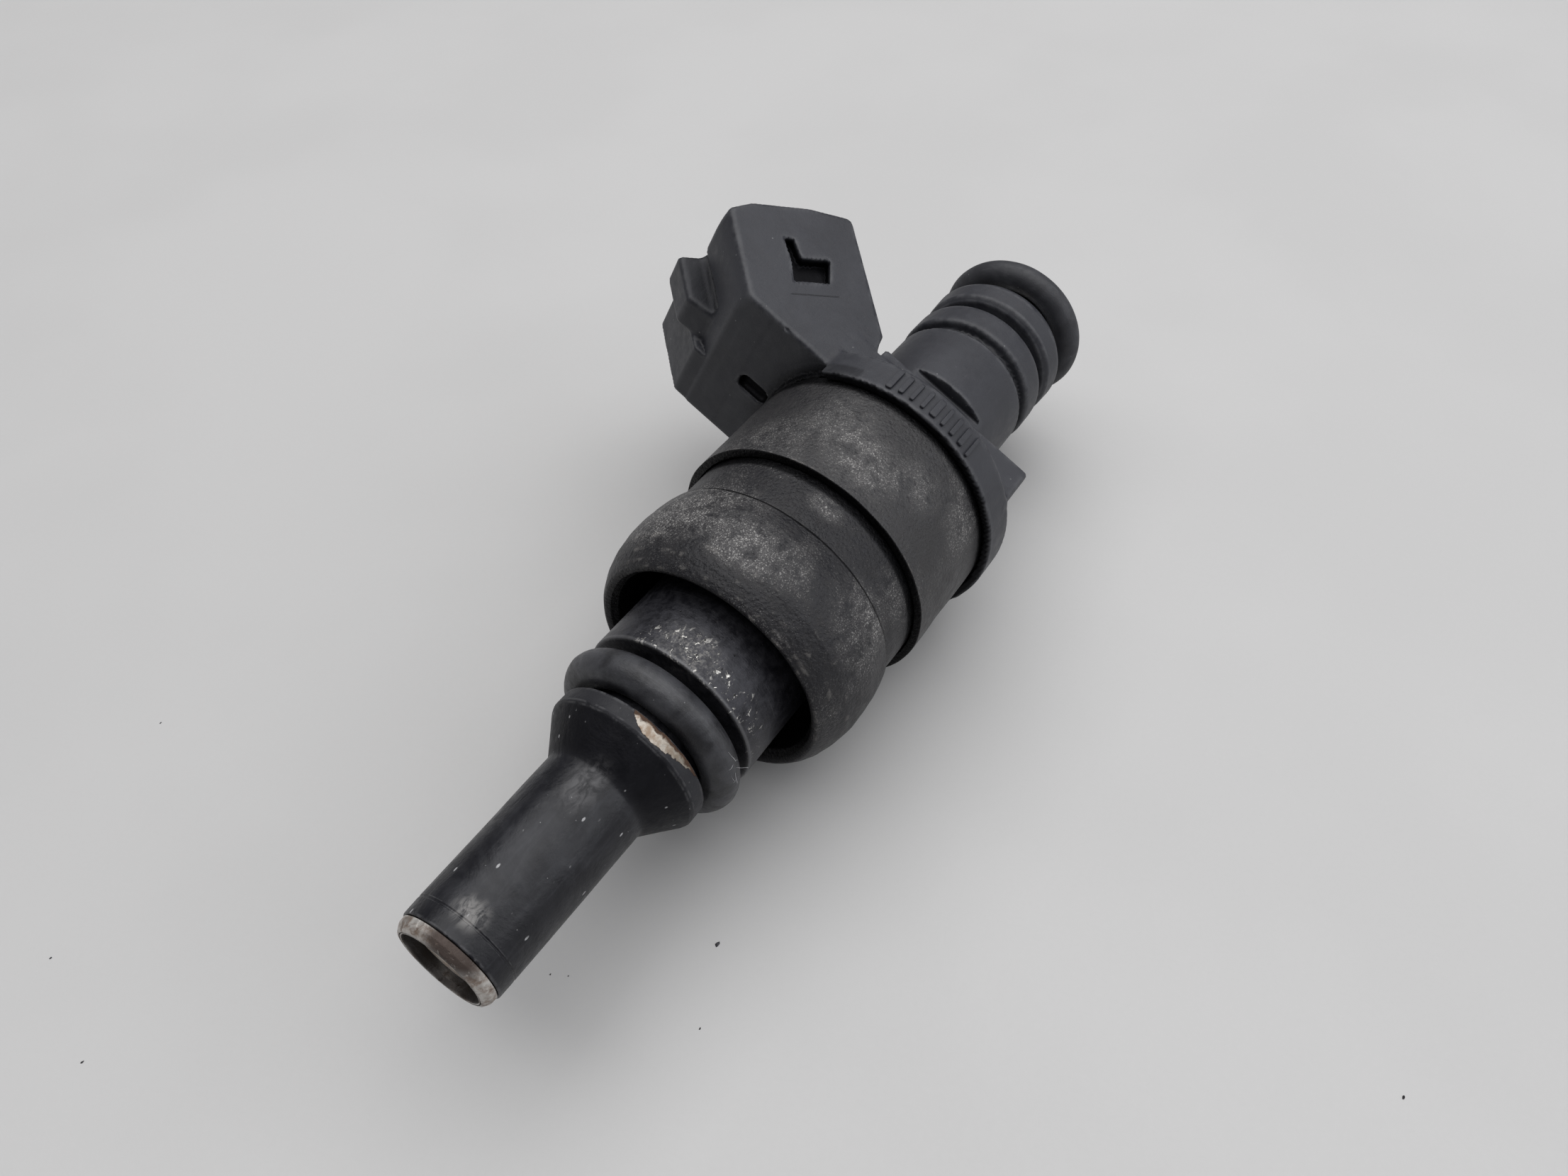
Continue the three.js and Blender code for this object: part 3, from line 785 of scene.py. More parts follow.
@dataclass(frozen=True)
class SatinMoulding:
    """Glass-filled satin plastic of the connector moulding, with painted shade in its corners,
    pockets and slots.

    Attributes:
        name: Name of the finish.
        deep: Colour of the clean plastic.
        pale: Colour where handling has greyed it.
        dust: Colour of the dust in it.
    """

    name: str = "satin_moulding"
    deep: Colour = (0.0200, 0.0208, 0.0262)
    pale: Colour = (0.0300, 0.0312, 0.0380)
    dust: Colour = (0.20, 0.20, 0.20)

    def material(self) -> Material:
        """Lays out the finish.

        Returns:
            The material.
        """
        b = ShadeBench(self.name)
        broad = b.noise(0.22, 4, 0.55, 0.4)
        mottle = b.noise(1.1, 5, 0.6)
        grain = b.noise(7.5, 3, 0.6)
        strands = b.noise(1.0, 4, 0.6, vector=b.mapped((0.6, 7.0, 7.0), (0.3, 0.5, 0.7)))
        edge, corner = b.value("edge"), b.value("corner")
        greyed = b.plus(b.times(b.ramp(broad, 0.35, 0.68), 0.6),
                        b.times(b.ramp(mottle, 0.42, 0.7), 0.45), clamp=True)
        b.colour = b.blend(greyed, self.deep, self.pale)
        b.paint(self.dust, b.ramp(strands, 0.62, 0.74), 0.05)
        rubbed = b.times(edge, b.ramp(mottle, 0.35, 0.62), 0.35)
        b.paint((0.095, 0.096, 0.102), rubbed)
        specks = b.times(b.ramp(b.cells(0.9), 0.075, 0.045), b.ramp(broad, 0.5, 0.62))
        b.paint(self.dust, specks, 0.7)
        # Painted shade: darker in the inward corners.
        b.paint((0.012, 0.012, 0.014), corner, 0.45)
        x, y, z = b.parts()
        out = b.plus(b.times(x, math.sin(TILT)), b.times(y, math.cos(TILT)))
        across = b.minus(b.times(x, math.cos(TILT)), b.times(y, math.sin(TILT)))
        gap = b.calc("ABSOLUTE", b.minus(out, 21.3))
        flash_line = b.times(b.ramp(gap, 0.075, 0.03), b.band(across, 2.8, 6.7, 0.25),
                             b.ramp(z, 7.3, 7.5))
        b.paint((0.006, 0.006, 0.008), flash_line, 0.75)
        # Painted shade: near-black where the mesh's painted shade value lies.
        b.paint((0.0035, 0.0035, 0.0045), b.value("painted_shade"))
        rough = b.plus(b.ramp(mottle, 0.3, 0.7, 0.44, 0.56), b.times(rubbed, -0.08))
        b.bump((b.plus(b.times(grain, 0.6), b.times(strands, 0.25)), 0.022),
               (b.minus(1.0, flash_line), 0.04), (broad, 0.10))
        # Metallic rises with the painted shade so that those places lose their sheen.
        return b.finish(Metallic=b.times(b.value("painted_shade"), 0.85), Roughness=rough,
                        Specular_IOR_Level=0.36)


@dataclass(frozen=True)
class NozzlePlastic:
    """Near-black plastic of the nozzle tube, smudged and flecked, with one chip; three of its
    smudges are partly painted highlight and the chip carries painted shade.

    Attributes:
        name: Name of the finish.
        deep: Colour of the clean plastic.
        smudge: Colour of the greasy smudges.
        chip: Colour of the bared patch on the skirt.
        chip_rim: Colour of the burnt rim round it.
    """

    name: str = "nozzle_plastic"
    deep: Colour = (0.0062, 0.0063, 0.0086)
    smudge: Colour = (0.072, 0.074, 0.084)
    chip: Colour = (0.46, 0.42, 0.37)
    chip_rim: Colour = (0.055, 0.030, 0.018)

    def material(self) -> Material:
        """Lays out the finish.

        Returns:
            The material.
        """
        b = ShadeBench(self.name)
        angle, x = b.around()
        broad = b.noise(0.28, 4, 0.6, 0.8)
        mottle = b.noise(1.3, 6, 0.62, 0.4)
        streak = b.noise(1.0, 4, 0.55, 0.3, vector=b.mapped((0.35, 2.6, 2.6)))
        grain = b.noise(6.0, 3, 0.55)
        edge = b.value("edge")
        tube = b.ramp(x, -21.3, -22.0)
        # Smudges that are partly painted highlight: one below the cone, one above the tip and a
        # long streak along the tube's lit side.
        cone_smudge_highlight = b.spot((-22.8, 0.9, 3.8), (1.7, 1.0, 1.5), 0.6)
        tip_smudge_highlight = b.spot((-32.9, 0.8, 3.8), (0.85, 0.95, 1.5), 0.6)
        handled_smudge_highlight = b.spot((-30.5, 1.2, 3.8), (5.0, 1.1, 1.6), 0.7)
        greasy = b.plus(b.times(b.ramp(broad, 0.44, 0.66), 0.42),
                        b.times(b.ramp(streak, 0.5, 0.72), 0.30), clamp=True)
        greasy = b.times(greasy, b.plus(0.10, b.times(tube, 0.24)))
        # The long streak: smudge with painted highlight.
        greasy = b.plus(greasy, b.times(handled_smudge_highlight, 0.10), clamp=True)
        b.colour = b.blend(greasy, self.deep, self.smudge)
        b.paint((0.0170, 0.0172, 0.0205), b.ramp(x, -19.1, -18.7), 0.8)
        wiped = b.noise(1.0, 5, 0.62, 0.9, vector=b.mapped((0.9, 1.6, 1.6)))
        # Smudges with painted highlight: grey below the cone, bright grey-white above the tip.
        b.paint((0.080, 0.079, 0.083), cone_smudge_highlight, b.ramp(wiped, 0.36, 0.66), 0.80)
        b.paint((0.165, 0.160, 0.157), tip_smudge_highlight, b.ramp(wiped, 0.36, 0.60), 0.95)
        long_cells = b.cells(1.0, vector=b.mapped((0.55, 1.15, 1.15), move=(3.3, 1.7, 0.4)))
        flecks = b.times(b.ramp(long_cells, 0.12, 0.07), b.ramp(b.noise(0.5, 2), 0.46, 0.56))
        b.paint((0.42, 0.42, 0.43), flecks, 0.75)
        dots = b.times(b.ramp(b.cells(1.7), 0.09, 0.05), b.ramp(mottle, 0.52, 0.62))
        b.paint((0.34, 0.34, 0.35), dots, 0.6)
        rubbed = b.times(edge, b.ramp(mottle, 0.42, 0.62), 0.35)
        b.paint((0.12, 0.12, 0.125), rubbed)
        ragged = b.times(b.minus(b.noise(1.9, 3, 0.5), 0.5), 0.60)
        start = b.ramp(angle, 73.0, 75.0)
        end = b.ramp(angle, 139.0, 134.0)
        width = b.times(b.ramp(angle, 68.0, 88.0), b.ramp(angle, 146.0, 92.0), -1.12)
        line = b.plus(width, -17.56)
        above = b.ramp(b.minus(b.plus(x, ragged), line), -0.02, 0.07)
        below = b.ramp(b.plus(x, b.times(ragged, 0.55)), -17.60, -17.68)
        bared = b.times(start, end, above, below)
        inner = b.times(b.ramp(b.plus(x, b.times(ragged, 1.3)), -17.78, -17.95), start, end, above)
        chip_tone_and_shade = b.blend(b.ramp(b.noise(1.9, 4, 0.5), 0.34, 0.60), (0.27, 0.20, 0.145), self.chip)
        # Painted shade: the chip darkens towards the higher angles round the skirt.
        chip_tone_and_shade = b.blend(b.times(b.ramp(angle, 88.0, 120.0), 0.75), chip_tone_and_shade, (0.15, 0.135, 0.110))
        patch = b.blend(inner, self.chip_rim, chip_tone_and_shade)
        b.paint(patch, bared)
        rough = b.plus(b.ramp(mottle, 0.3, 0.7, 0.29, 0.43), b.times(greasy, 0.14))
        rough = b.plus(rough, b.times(b.minus(1.0, tube), 0.16))
        rough = b.plus(rough, b.times(bared, 0.2), clamp=True)
        dull = b.times(b.band(x, -20.9, -19.2, 0.9), b.minus(1.0, bared), 0.55)
        b.bump((b.plus(grain, b.times(flecks, 1.2)), 0.012), (broad, 0.10), (mottle, 0.035),
               (b.times(bared, b.minus(mottle, 1.1)), 0.12))
        return b.finish(Metallic=dull, Roughness=rough, Specular_IOR_Level=0.26)


@dataclass(frozen=True)
class WearHighlightPatch:
    """A worn place on a steel piece, partly painted highlight.

    Attributes:
        centre: Its middle, in mm.
        size: Half its size each way, in mm.
        amount: How worn and lit it is, 0 to 1.
    """

    centre: Point3
    size: Point3
    amount: float = 1.0


@dataclass(frozen=True)
class CoatedSteel:
    """Rough, leathery dark coating on steel, worn pale in places, with painted highlight over some
    of them and painted shade in black bands and inside.

    Attributes:
        name: Name of the finish.
        wear_highlight_patches: Places where it is worn, partly painted highlight.
        coat: Colour of the sound coating.
        brown: Colour of its browned parts.
        worn_lit: Colour where it is worn, partly painted highlight.
        grit: Colour of the bared grains.
        pits: Depth of the leathery relief, in mm.
        joints: Black bands round the piece, a seam line and painted shade next to edges: low x,
            high x and fade, in mm.
        inside: Radius below which the piece is painted black as shade, in mm.
        sheen: How strongly the coating shines.
    """

    name: str
    wear_highlight_patches: Tuple[WearHighlightPatch, ...]
    coat: Colour = (0.0125, 0.0122, 0.0145)
    brown: Colour = (0.0270, 0.0258, 0.0262)
    worn_lit: Colour = (0.092, 0.089, 0.090)
    grit: Colour = (0.40, 0.39, 0.38)
    pits: float = 0.045
    joints: Tuple[Point3, ...] = ()
    inside: float = 0.0
    sheen: float = 0.42

    def material(self) -> Material:
        """Lays out the finish.

        Returns:
            The material.
        """
        b = ShadeBench(self.name)
        broad = b.noise(0.17, 4, 0.6, 0.6)
        mottle = b.noise(0.9, 6, 0.65, 0.5)
        grain = b.noise(4.6, 4, 0.65)
        fine = b.noise(11.0, 2, 0.5)
        leather = b.ramp(b.cells(3.6, "SMOOTH_F1"), 0.05, 0.60)
        edge = b.value("edge")
        # Wear and painted highlight: paler at the listed patches, partly where the light falls on
        # them.
        wear_and_highlight: Feed = b.times(b.ramp(broad, 0.50, 0.74), 0.25)
        for patch in self.wear_highlight_patches:
            wear_and_highlight = b.plus(wear_and_highlight, b.times(b.spot(patch.centre, patch.size, 0.75), patch.amount),
                          clamp=True)
        soft_wear_and_highlight = b.times(wear_and_highlight, b.ramp(mottle, 0.30, 0.66))
        b.colour = b.blend(b.times(b.ramp(mottle, 0.30, 0.75), 0.6), self.coat, self.brown)
        b.paint(self.worn_lit, soft_wear_and_highlight, 0.55)
        dots = b.most(b.ramp(b.cells(4.4), 0.36, 0.16), b.ramp(b.cells(7.3), 0.34, 0.16))
        grit = b.plus(b.times(b.ramp(b.noise(9.5, 3, 0.65), 0.52, 0.66), 0.55), b.times(dots, 0.75),
                      clamp=True)
        grains = b.times(grit, b.ramp(mottle, 0.34, 0.60), wear_and_highlight)
        b.paint(self.grit, grains, 0.85)
        b.paint(self.grit, dots, b.ramp(broad, 0.42, 0.60), 0.08)
        stray = b.times(b.ramp(b.cells(0.85), 0.060, 0.03), b.ramp(broad, 0.50, 0.60))
        b.paint(self.grit, stray, 0.6)
        rubbed = b.times(edge, b.ramp(mottle, 0.53, 0.64), 0.30)
        b.paint((0.20, 0.19, 0.18), rubbed)
        x, _, _ = b.parts()
        # Black bands: the shell's seam line is a real dark joint; the other bands and the black
        # inside are painted shade, with metallic raised to kill their sheen.
        black: Feed = 0.0
        for low, high, fade in self.joints:
            black = b.most(black, b.times(b.band(x, low, high, fade), 0.92))
        if self.inside > 0:
            hollow = b.ramp(b.radius(), self.inside, self.inside - 0.3)
            black = b.most(black, b.times(hollow, 0.8))
        b.paint((0.0032, 0.0032, 0.0040), black)
        rough = b.plus(b.ramp(mottle, 0.3, 0.7, 0.40, 0.56), b.times(grains, -0.1))
        relief = b.plus(b.times(leather, 0.55), b.times(grain, 0.65))
        relief = b.plus(relief, b.times(dots, 0.45))
        metal = b.plus(0.12, b.times(black, 0.7))
        b.bump((fine, 0.010), (relief, self.pits), (mottle, 0.03))
        return b.finish(Metallic=metal, Roughness=rough, Specular_IOR_Level=self.sheen)


@dataclass(frozen=True)
class Gunmetal:
    """Dark steel of the valve body, flecked bright just above its seal.

    Attributes:
        name: Name of the finish.
        dark: Colour of the browned steel.
        light: Colour of the cleaner steel.
        bright: Colour of the flecks.
    """

    name: str = "gunmetal"
    dark: Colour = (0.012, 0.012, 0.016)
    light: Colour = (0.036, 0.036, 0.043)
    bright: Colour = (0.80, 0.78, 0.74)

    def material(self) -> Material:
        """Lays out the finish.

        Returns:
            The material.
        """
        b = ShadeBench(self.name)
        angle, x = b.around()
        broad = b.noise(0.34, 4, 0.6, 0.4)
        mottle = b.noise(1.5, 6, 0.66, 0.3)
        grain = b.noise(5.0, 4, 0.6)
        rings = b.noise(1.0, 4, 0.6, vector=b.mapped((9.0, 0.35, 0.35)))
        edge = b.value("edge")
        b.colour = b.blend(b.ramp(mottle, 0.35, 0.7), self.dark, self.light)
        b.paint((0.12, 0.12, 0.125), b.ramp(rings, 0.55, 0.72), 0.18)
        zone = b.times(b.ramp(x, -10.9, -12.4), b.ramp(angle, 36.0, 58.0),
                       b.ramp(angle, 160.0, 142.0))
        heart = b.spot((-12.35, 1.6, 6.6), (1.25, 1.9, 2.4), 0.7)
        scratchy = b.noise(1.0, 6, 0.72, 0.6, vector=b.mapped((1.6, 2.5, 2.5)))
        crowd = b.ramp(b.noise(0.8, 3, 0.5), 0.44, 0.58)
        flecks = b.times(b.most(b.times(zone, crowd), heart), b.ramp(scratchy, 0.563, 0.62),
                         b.ramp(b.radius(), 6.50, 6.66))
        cloud = b.times(heart, b.ramp(grain, 0.40, 0.66), b.ramp(mottle, 0.34, 0.6))
        b.paint((0.30, 0.29, 0.27), cloud, 0.45)
        b.paint(self.bright, flecks)
        b.paint((0.20, 0.20, 0.205), edge, 0.3)
        pits = b.times(b.ramp(b.cells(1.4), 0.12, 0.07), b.ramp(broad, 0.44, 0.56))
        b.paint((0.010, 0.010, 0.011), pits, 0.9)
        metal = b.plus(0.45, b.times(flecks, 0.4), clamp=True)
        rough = b.plus(b.ramp(mottle, 0.3, 0.7, 0.34, 0.48), b.times(cloud, 0.08))
        b.bump((b.plus(grain, b.times(rings, 0.7)), 0.016),
               (b.minus(b.times(flecks, 0.6), pits), 0.05), (mottle, 0.04))
        return b.finish(Metallic=metal, Roughness=rough)


@dataclass(frozen=True)
class ScorchedMetal:
    """Light metal of the spray tip, stained brown by heat and fuel, with painted shade on the
    ring's bore wall.

    Attributes:
        name: Name of the finish.
        clean: Colour of the rubbed metal.
        stain: Colour of the varnish stain.
        crust: Colour of the burnt crust.
        crusted: How much of the surface carries crust, 0 to 1.
        metal: How metallic it still is.
    """

    name: str
    clean: Colour = (0.40, 0.385, 0.365)
    stain: Colour = (0.19, 0.135, 0.100)
    crust: Colour = (0.058, 0.043, 0.037)
    crusted: float = 0.5
    metal: float = 0.55

    def material(self) -> Material:
        """Lays out the finish.

        Returns:
            The material.
        """
        b = ShadeBench(self.name)
        broad = b.noise(0.7, 4, 0.6, 0.5)
        mottle = b.noise(2.6, 6, 0.66, 0.4)
        grain = b.noise(9.0, 3, 0.6)
        edge = b.value("edge")
        b.colour = b.blend(b.ramp(broad, 0.38, 0.62), self.clean, self.stain)
        b.paint((0.62, 0.60, 0.57), b.ramp(mottle, 0.4, 0.66), 0.45)
        burnt = b.times(b.spot((-35.0, 0.1, 3.5), (0.95, 2.1, 1.3), 0.4),
                        b.ramp(mottle, 0.24, 0.44))
        burnt = b.most(burnt,
                       b.times(b.ramp(broad, 0.56, 0.66), self.crusted, b.ramp(mottle, 0.36, 0.54)))
        b.paint((0.58, 0.56, 0.53), edge, b.ramp(mottle, 0.34, 0.6), 0.45)
        b.paint(self.crust, burnt)
        # Painted shade: near-black on the bore wall of the tip ring.
        bore_shade = b.times(b.ramp(b.radius(), 3.07, 3.00), b.ramp(b.radius(), 2.90, 2.96), 0.95)
        b.paint((0.012, 0.009, 0.008), bore_shade)
        rough = b.plus(b.ramp(mottle, 0.3, 0.7, 0.33, 0.52), b.times(burnt, 0.2), clamp=True)
        b.bump((grain, 0.010), (b.plus(mottle, b.times(burnt, 0.8)), 0.045))
        return b.finish(Metallic=self.metal, Roughness=rough)


@dataclass(frozen=True)
class SealRubber:
    """Black rubber with faint rings round it, grey bloom and lint.

    Attributes:
        name: Name of the finish.
        deep: Colour of the clean rubber.
        bloom: Colour of the bloom.
        dry: How much rougher it is than fresh rubber.
    """

    name: str = "seal_rubber"
    deep: Colour = (0.0105, 0.0105, 0.0125)
    bloom: Colour = (0.050, 0.051, 0.057)
    dry: float = 0.0

    def material(self) -> Material:
        """Lays out the finish.

        Returns:
            The material.
        """
        b = ShadeBench(self.name)
        broad = b.noise(0.4, 4, 0.55, 0.4)
        mottle = b.noise(1.8, 5, 0.6)
        grain = b.noise(8.0, 3, 0.55)
        rings = b.noise(1.0, 4, 0.6, 0.1, vector=b.mapped((6.5, 0.5, 0.5)))
        b.colour = b.blend(b.times(b.ramp(broad, 0.36, 0.68), 0.8), self.deep, self.bloom)
        b.paint((0.080, 0.082, 0.090), b.ramp(rings, 0.58, 0.72), 0.25)
        lint = b.times(b.ramp(b.cells(1.5), 0.08, 0.04), b.ramp(mottle, 0.5, 0.6))
        b.paint((0.25, 0.25, 0.26), lint, 0.6)
        rough = b.ramp(mottle, 0.3, 0.7, 0.38 + self.dry, 0.54 + self.dry)
        b.bump((b.plus(grain, b.times(rings, 0.8)), 0.014), (broad, 0.05))
        return b.finish(Roughness=rough, Specular_IOR_Level=0.38)


@dataclass(frozen=True)
class MachinedMetal:
    """Turned metal with fine tool rings, light stains and bright rubbed edges.

    Attributes:
        name: Name of the finish.
        clean: Colour of the metal.
        stain: Colour of its stains.
        metallic: How metallic it is.
        smooth: Lowest roughness.
    """

    name: str
    clean: Colour
    stain: Colour
    metallic: float = 0.95
    smooth: float = 0.22

    def material(self) -> Material:
        """Lays out the finish.

        Returns:
            The material.
        """
        b = ShadeBench(self.name)
        broad = b.noise(0.5, 4, 0.6, 0.4)
        mottle = b.noise(2.2, 5, 0.6)
        rings = b.noise(1.0, 3, 0.6, vector=b.mapped((14.0, 0.4, 0.4)))
        edge = b.value("edge")
        b.colour = b.blend(b.times(b.ramp(broad, 0.42, 0.68), 0.8), self.clean, self.stain)
        b.paint(self.stain, b.ramp(mottle, 0.52, 0.7), 0.3)
        b.paint(tuple(min(1.0, c * 1.25) for c in self.clean), edge, 0.4)
        rough = b.plus(b.ramp(mottle, 0.3, 0.7, self.smooth, self.smooth + 0.16),
                       b.times(rings, 0.08))
        b.bump((rings, 0.008), (mottle, 0.012))
        return b.finish(Metallic=self.metallic, Roughness=rough)


@dataclass(frozen=True)
class MouldedNylon:
    """Plain moulded nylon, slightly stained.

    Attributes:
        name: Name of the finish.
        clean: Colour of the nylon.
        stain: Colour of its stains.
    """

    name: str = "moulded_nylon"
    clean: Colour = (0.30, 0.27, 0.21)
    stain: Colour = (0.17, 0.14, 0.10)

    def material(self) -> Material:
        """Lays out the finish.

        Returns:
            The material.
        """
        b = ShadeBench(self.name)
        broad, mottle = b.noise(0.5, 4, 0.6), b.noise(2.5, 5, 0.6)
        b.colour = b.blend(b.ramp(broad, 0.4, 0.7), self.clean, self.stain)
        rough = b.ramp(mottle, 0.3, 0.7, 0.42, 0.58)
        b.bump((mottle, 0.02), (b.noise(7.0, 3), 0.012))
        return b.finish(Roughness=rough)


@dataclass(frozen=True)
class LintFibre:
    """Pale grey fibre of the lint.

    Attributes:
        name: Name of the finish.
        light: Colour of its clean parts.
        dull: Colour of its dusty parts.
    """

    name: str = "lint_fibre"
    light: Colour = (0.34, 0.34, 0.35)
    dull: Colour = (0.17, 0.17, 0.18)

    def material(self) -> Material:
        """Lays out the finish.

        Returns:
            The material.
        """
        b = ShadeBench(self.name)
        cloud = b.noise(2.5, 3, 0.6)
        b.colour = b.blend(b.ramp(cloud, 0.4, 0.6), self.light, self.dull)
        b.bump((cloud, 0.01))
        return b.finish(Roughness=b.ramp(cloud, 0.3, 0.7, 0.6, 0.8))


@dataclass(frozen=True)
class PaleBoard:
    """Matt pale board that the injector lies on.

    Attributes:
        name: Name of the finish.
        light: Colour of the board.
        shade: Colour of its faint clouds.
    """

    name: str = "pale_board"
    light: Colour = (0.452, 0.450, 0.449)
    shade: Colour = (0.438, 0.436, 0.435)

    def material(self) -> Material:
        """Lays out the finish.

        Returns:
            The material.
        """
        b = ShadeBench(self.name)
        cloud = b.noise(0.03, 3, 0.5)
        grain = b.noise(3.0, 4, 0.6)
        b.colour = b.blend(b.ramp(cloud, 0.35, 0.65), self.light, self.shade)
        rough = b.ramp(grain, 0.3, 0.7, 0.62, 0.72)
        b.bump((grain, 0.006))
        return b.finish(Roughness=rough)


# ---- geometry-node benches


class ShapeBench(Bench):
    """Lays out one geometry-node tree and turns its result into a plain mesh."""

    def __init__(self, name: str) -> None:
        """Starts an empty tree with one geometry input and output."""
        super().__init__(bpy.data.node_groups.new(name, "GeometryNodeTree"))
        for way in ("INPUT", "OUTPUT"):
            self.tree.interface.new_socket(name="Geometry", in_out=way,
                                           socket_type="NodeSocketGeometry")
        self.amounts: Dict[str, float] = {}
        self.name = name
        self._inlet = self.node("NodeGroupInput")

    def size(self, name: str, amount: Union[float, int]) -> Socket:
        """Adds a named input and sets what this piece gives it."""
        kind = "NodeSocketInt" if isinstance(amount, int) else "NodeSocketFloat"
        socket = self.tree.interface.new_socket(name=name, in_out="INPUT", socket_type=kind)
        self.amounts[socket.identifier] = amount
        return self._inlet.outputs[name]

    def point(self, **coordinates: Feed) -> Socket:
        """Point or vector with the given X, Y and Z."""
        return self.out("ShaderNodeCombineXYZ", coordinates)

    def on_round(self, x: Feed, radius: Feed, angle: Feed) -> Socket:
        """Point at a radius and an angle about the injector's axis."""
        return self.point(X=x, Y=self.times(radius, self.calc("COSINE", angle)),
                          Z=self.times(radius, self.calc("SINE", angle)))

    def circle(self, radius: Feed, sides: int) -> Socket:
        """Round curve."""
        return self.out("GeometryNodeCurvePrimitiveCircle",
                        {"Resolution": sides, "Radius": radius})

    def tube(self, path: Socket, section: Socket, capped: bool = True) -> Socket:
        """Sweeps a section along a path."""
        return self.out("GeometryNodeCurveToMesh", {
            "Curve": path, "Profile Curve": section, "Fill Caps": capped})

    def copies(self, points: Socket, shape: Socket, **feeds: Feed) -> Socket:
        """Sets a copy of a shape on each point."""
        return self.out("GeometryNodeInstanceOnPoints",
                        {"Points": points, "Instance": shape, **feeds})

    def laid(self, shape: Socket, start: float) -> Socket:
        """Lays an upright shape along the injector from the given place."""
        return self.out("GeometryNodeTransform", {
            "Geometry": shape, "Translation": (start, 0, 0), "Rotation": (0, math.pi / 2, 0)})

    def chance(self, low: float, high: float, seed: Feed) -> Socket:
        """Random number between two limits for each point."""
        node = self.node("FunctionNodeRandomValue", {2: low, 3: high, "Seed": seed},
                         data_type="FLOAT")
        return node.outputs[1]

    def harvest(self, result: Socket, material: Material) -> Mesh:
        """Ends the tree, evaluates it and takes the mesh.

        Args:
            result: Geometry to keep.
            material: Finish that the tree sets.

        Returns:
            Plain mesh in the injector's own frame, in mm.
        """
        real = self.out("GeometryNodeRealizeInstances", {0: result})
        dressed = self.out("GeometryNodeSetMaterial", {"Geometry": real, "Material": material})
        self.node("NodeGroupOutput", {0: dressed})
        carrier = linked(self.name + "_seed", bpy.data.meshes.new(self.name + "_seed"))
        modifier = carrier.modifiers.new(self.name, "NODES")
        modifier.node_group = self.tree
        for identifier, amount in self.amounts.items():
            modifier[identifier] = amount
        mesh = taken(carrier)
        bpy.data.node_groups.remove(self.tree)
        return mesh


class Grown:
    """A piece that a geometry-node tree grows; each kind says how."""

    name: str

    def mesh(self, material: Material) -> Mesh:
        """Grows the mesh, in mm, with the given finish."""
        raise NotImplementedError

    def build(self, material: Material, slot: Slot, *nodes: str) -> Piece:
        """Builds the piece in its finish, on the housing; the rest is as in fit_out."""
        return fit_out(self.name, self.mesh(material), material, slot, *nodes)


@dataclass
class HelixWire(Grown):
    """Round wire wound about the injector's axis, for the spring and the coil.

    Attributes:
        name: The piece's name.
        start: Where the winding begins, in mm.
        length: Length of the winding.
        radius: Radius of the wire's middle line.
        wire: Radius of the wire.
        turns: Number of turns.
        steps: Points in one turn.
        sides: Sides of the wire.
    """

    name: str
    start: float
    length: float
    radius: float
    wire: float
    turns: float
    steps: int = 40
    sides: int = 10

    def mesh(self, material: Material) -> Mesh:
        """Winds the wire.

        Args:
            material: Finish of the wire.

        Returns:
            Mesh of the wire, in mm.
        """
        g = ShapeBench(self.name)
        length, radius = g.size("Length", self.length), g.size("Radius", self.radius)
        wire, turns = g.size("Wire", self.wire), g.size("Turns", self.turns)
        spiral = g.out("GeometryNodeCurveSpiral", {
            "Resolution": self.steps, "Rotations": turns, "Start Radius": radius,
            "End Radius": radius, "Height": length})
        tube = g.tube(spiral, g.circle(wire, self.sides))
        return g.harvest(g.laid(tube, self.start), material)


@dataclass
class Gauze(Grown):
    """Fine wire gauze rolled into a sleeve inside the filter's cage.

    Attributes:
        name: The piece's name.
        start: Lower end, in mm.
        length: Length of the sleeve.
        radius: Radius of the sleeve.
        wire: Radius of one wire.
        hoops: Number of wires round the sleeve.
        stays: Number of wires along it.
    """

    name: str = "filter_mesh_weave"
    start: float = 30.65
    length: float = 4.1
    radius: float = 2.03
    wire: float = 0.045
    hoops: int = 22
    stays: int = 36

    def mesh(self, material: Material) -> Mesh:
        """Weaves the sleeve.

        Args:
            material: Finish of the wires.

        Returns:
            Mesh of all its wires, in mm.
        """
        g = ShapeBench(self.name)
        length, radius = g.size("Length", self.length), g.size("Radius", self.radius)
        wire, hoops = g.size("Wire", self.wire), g.size("Hoops", self.hoops)
        stays = g.size("Stays", self.stays)
        section = g.circle(wire, 5)
        hoop = g.tube(g.circle(radius, 36), section, False)
        spacing = g.calc("DIVIDE", length, g.minus(hoops, 1.0))
        row = g.out("GeometryNodeMeshLine", {"Count": hoops, "Offset": g.point(Z=spacing)})
        stay = g.out("GeometryNodeCurvePrimitiveLine", {"End": g.point(Z=length)})
        circle = g.out("GeometryNodeMeshCircle", {"Vertices": stays, "Radius": radius})
        both = g.node("GeometryNodeJoinGeometry", {0: g.copies(row, hoop)})
        g.feed(both.inputs[0], g.copies(circle, g.tube(stay, section)))
        return g.harvest(g.laid(both.outputs[0], self.start), material)


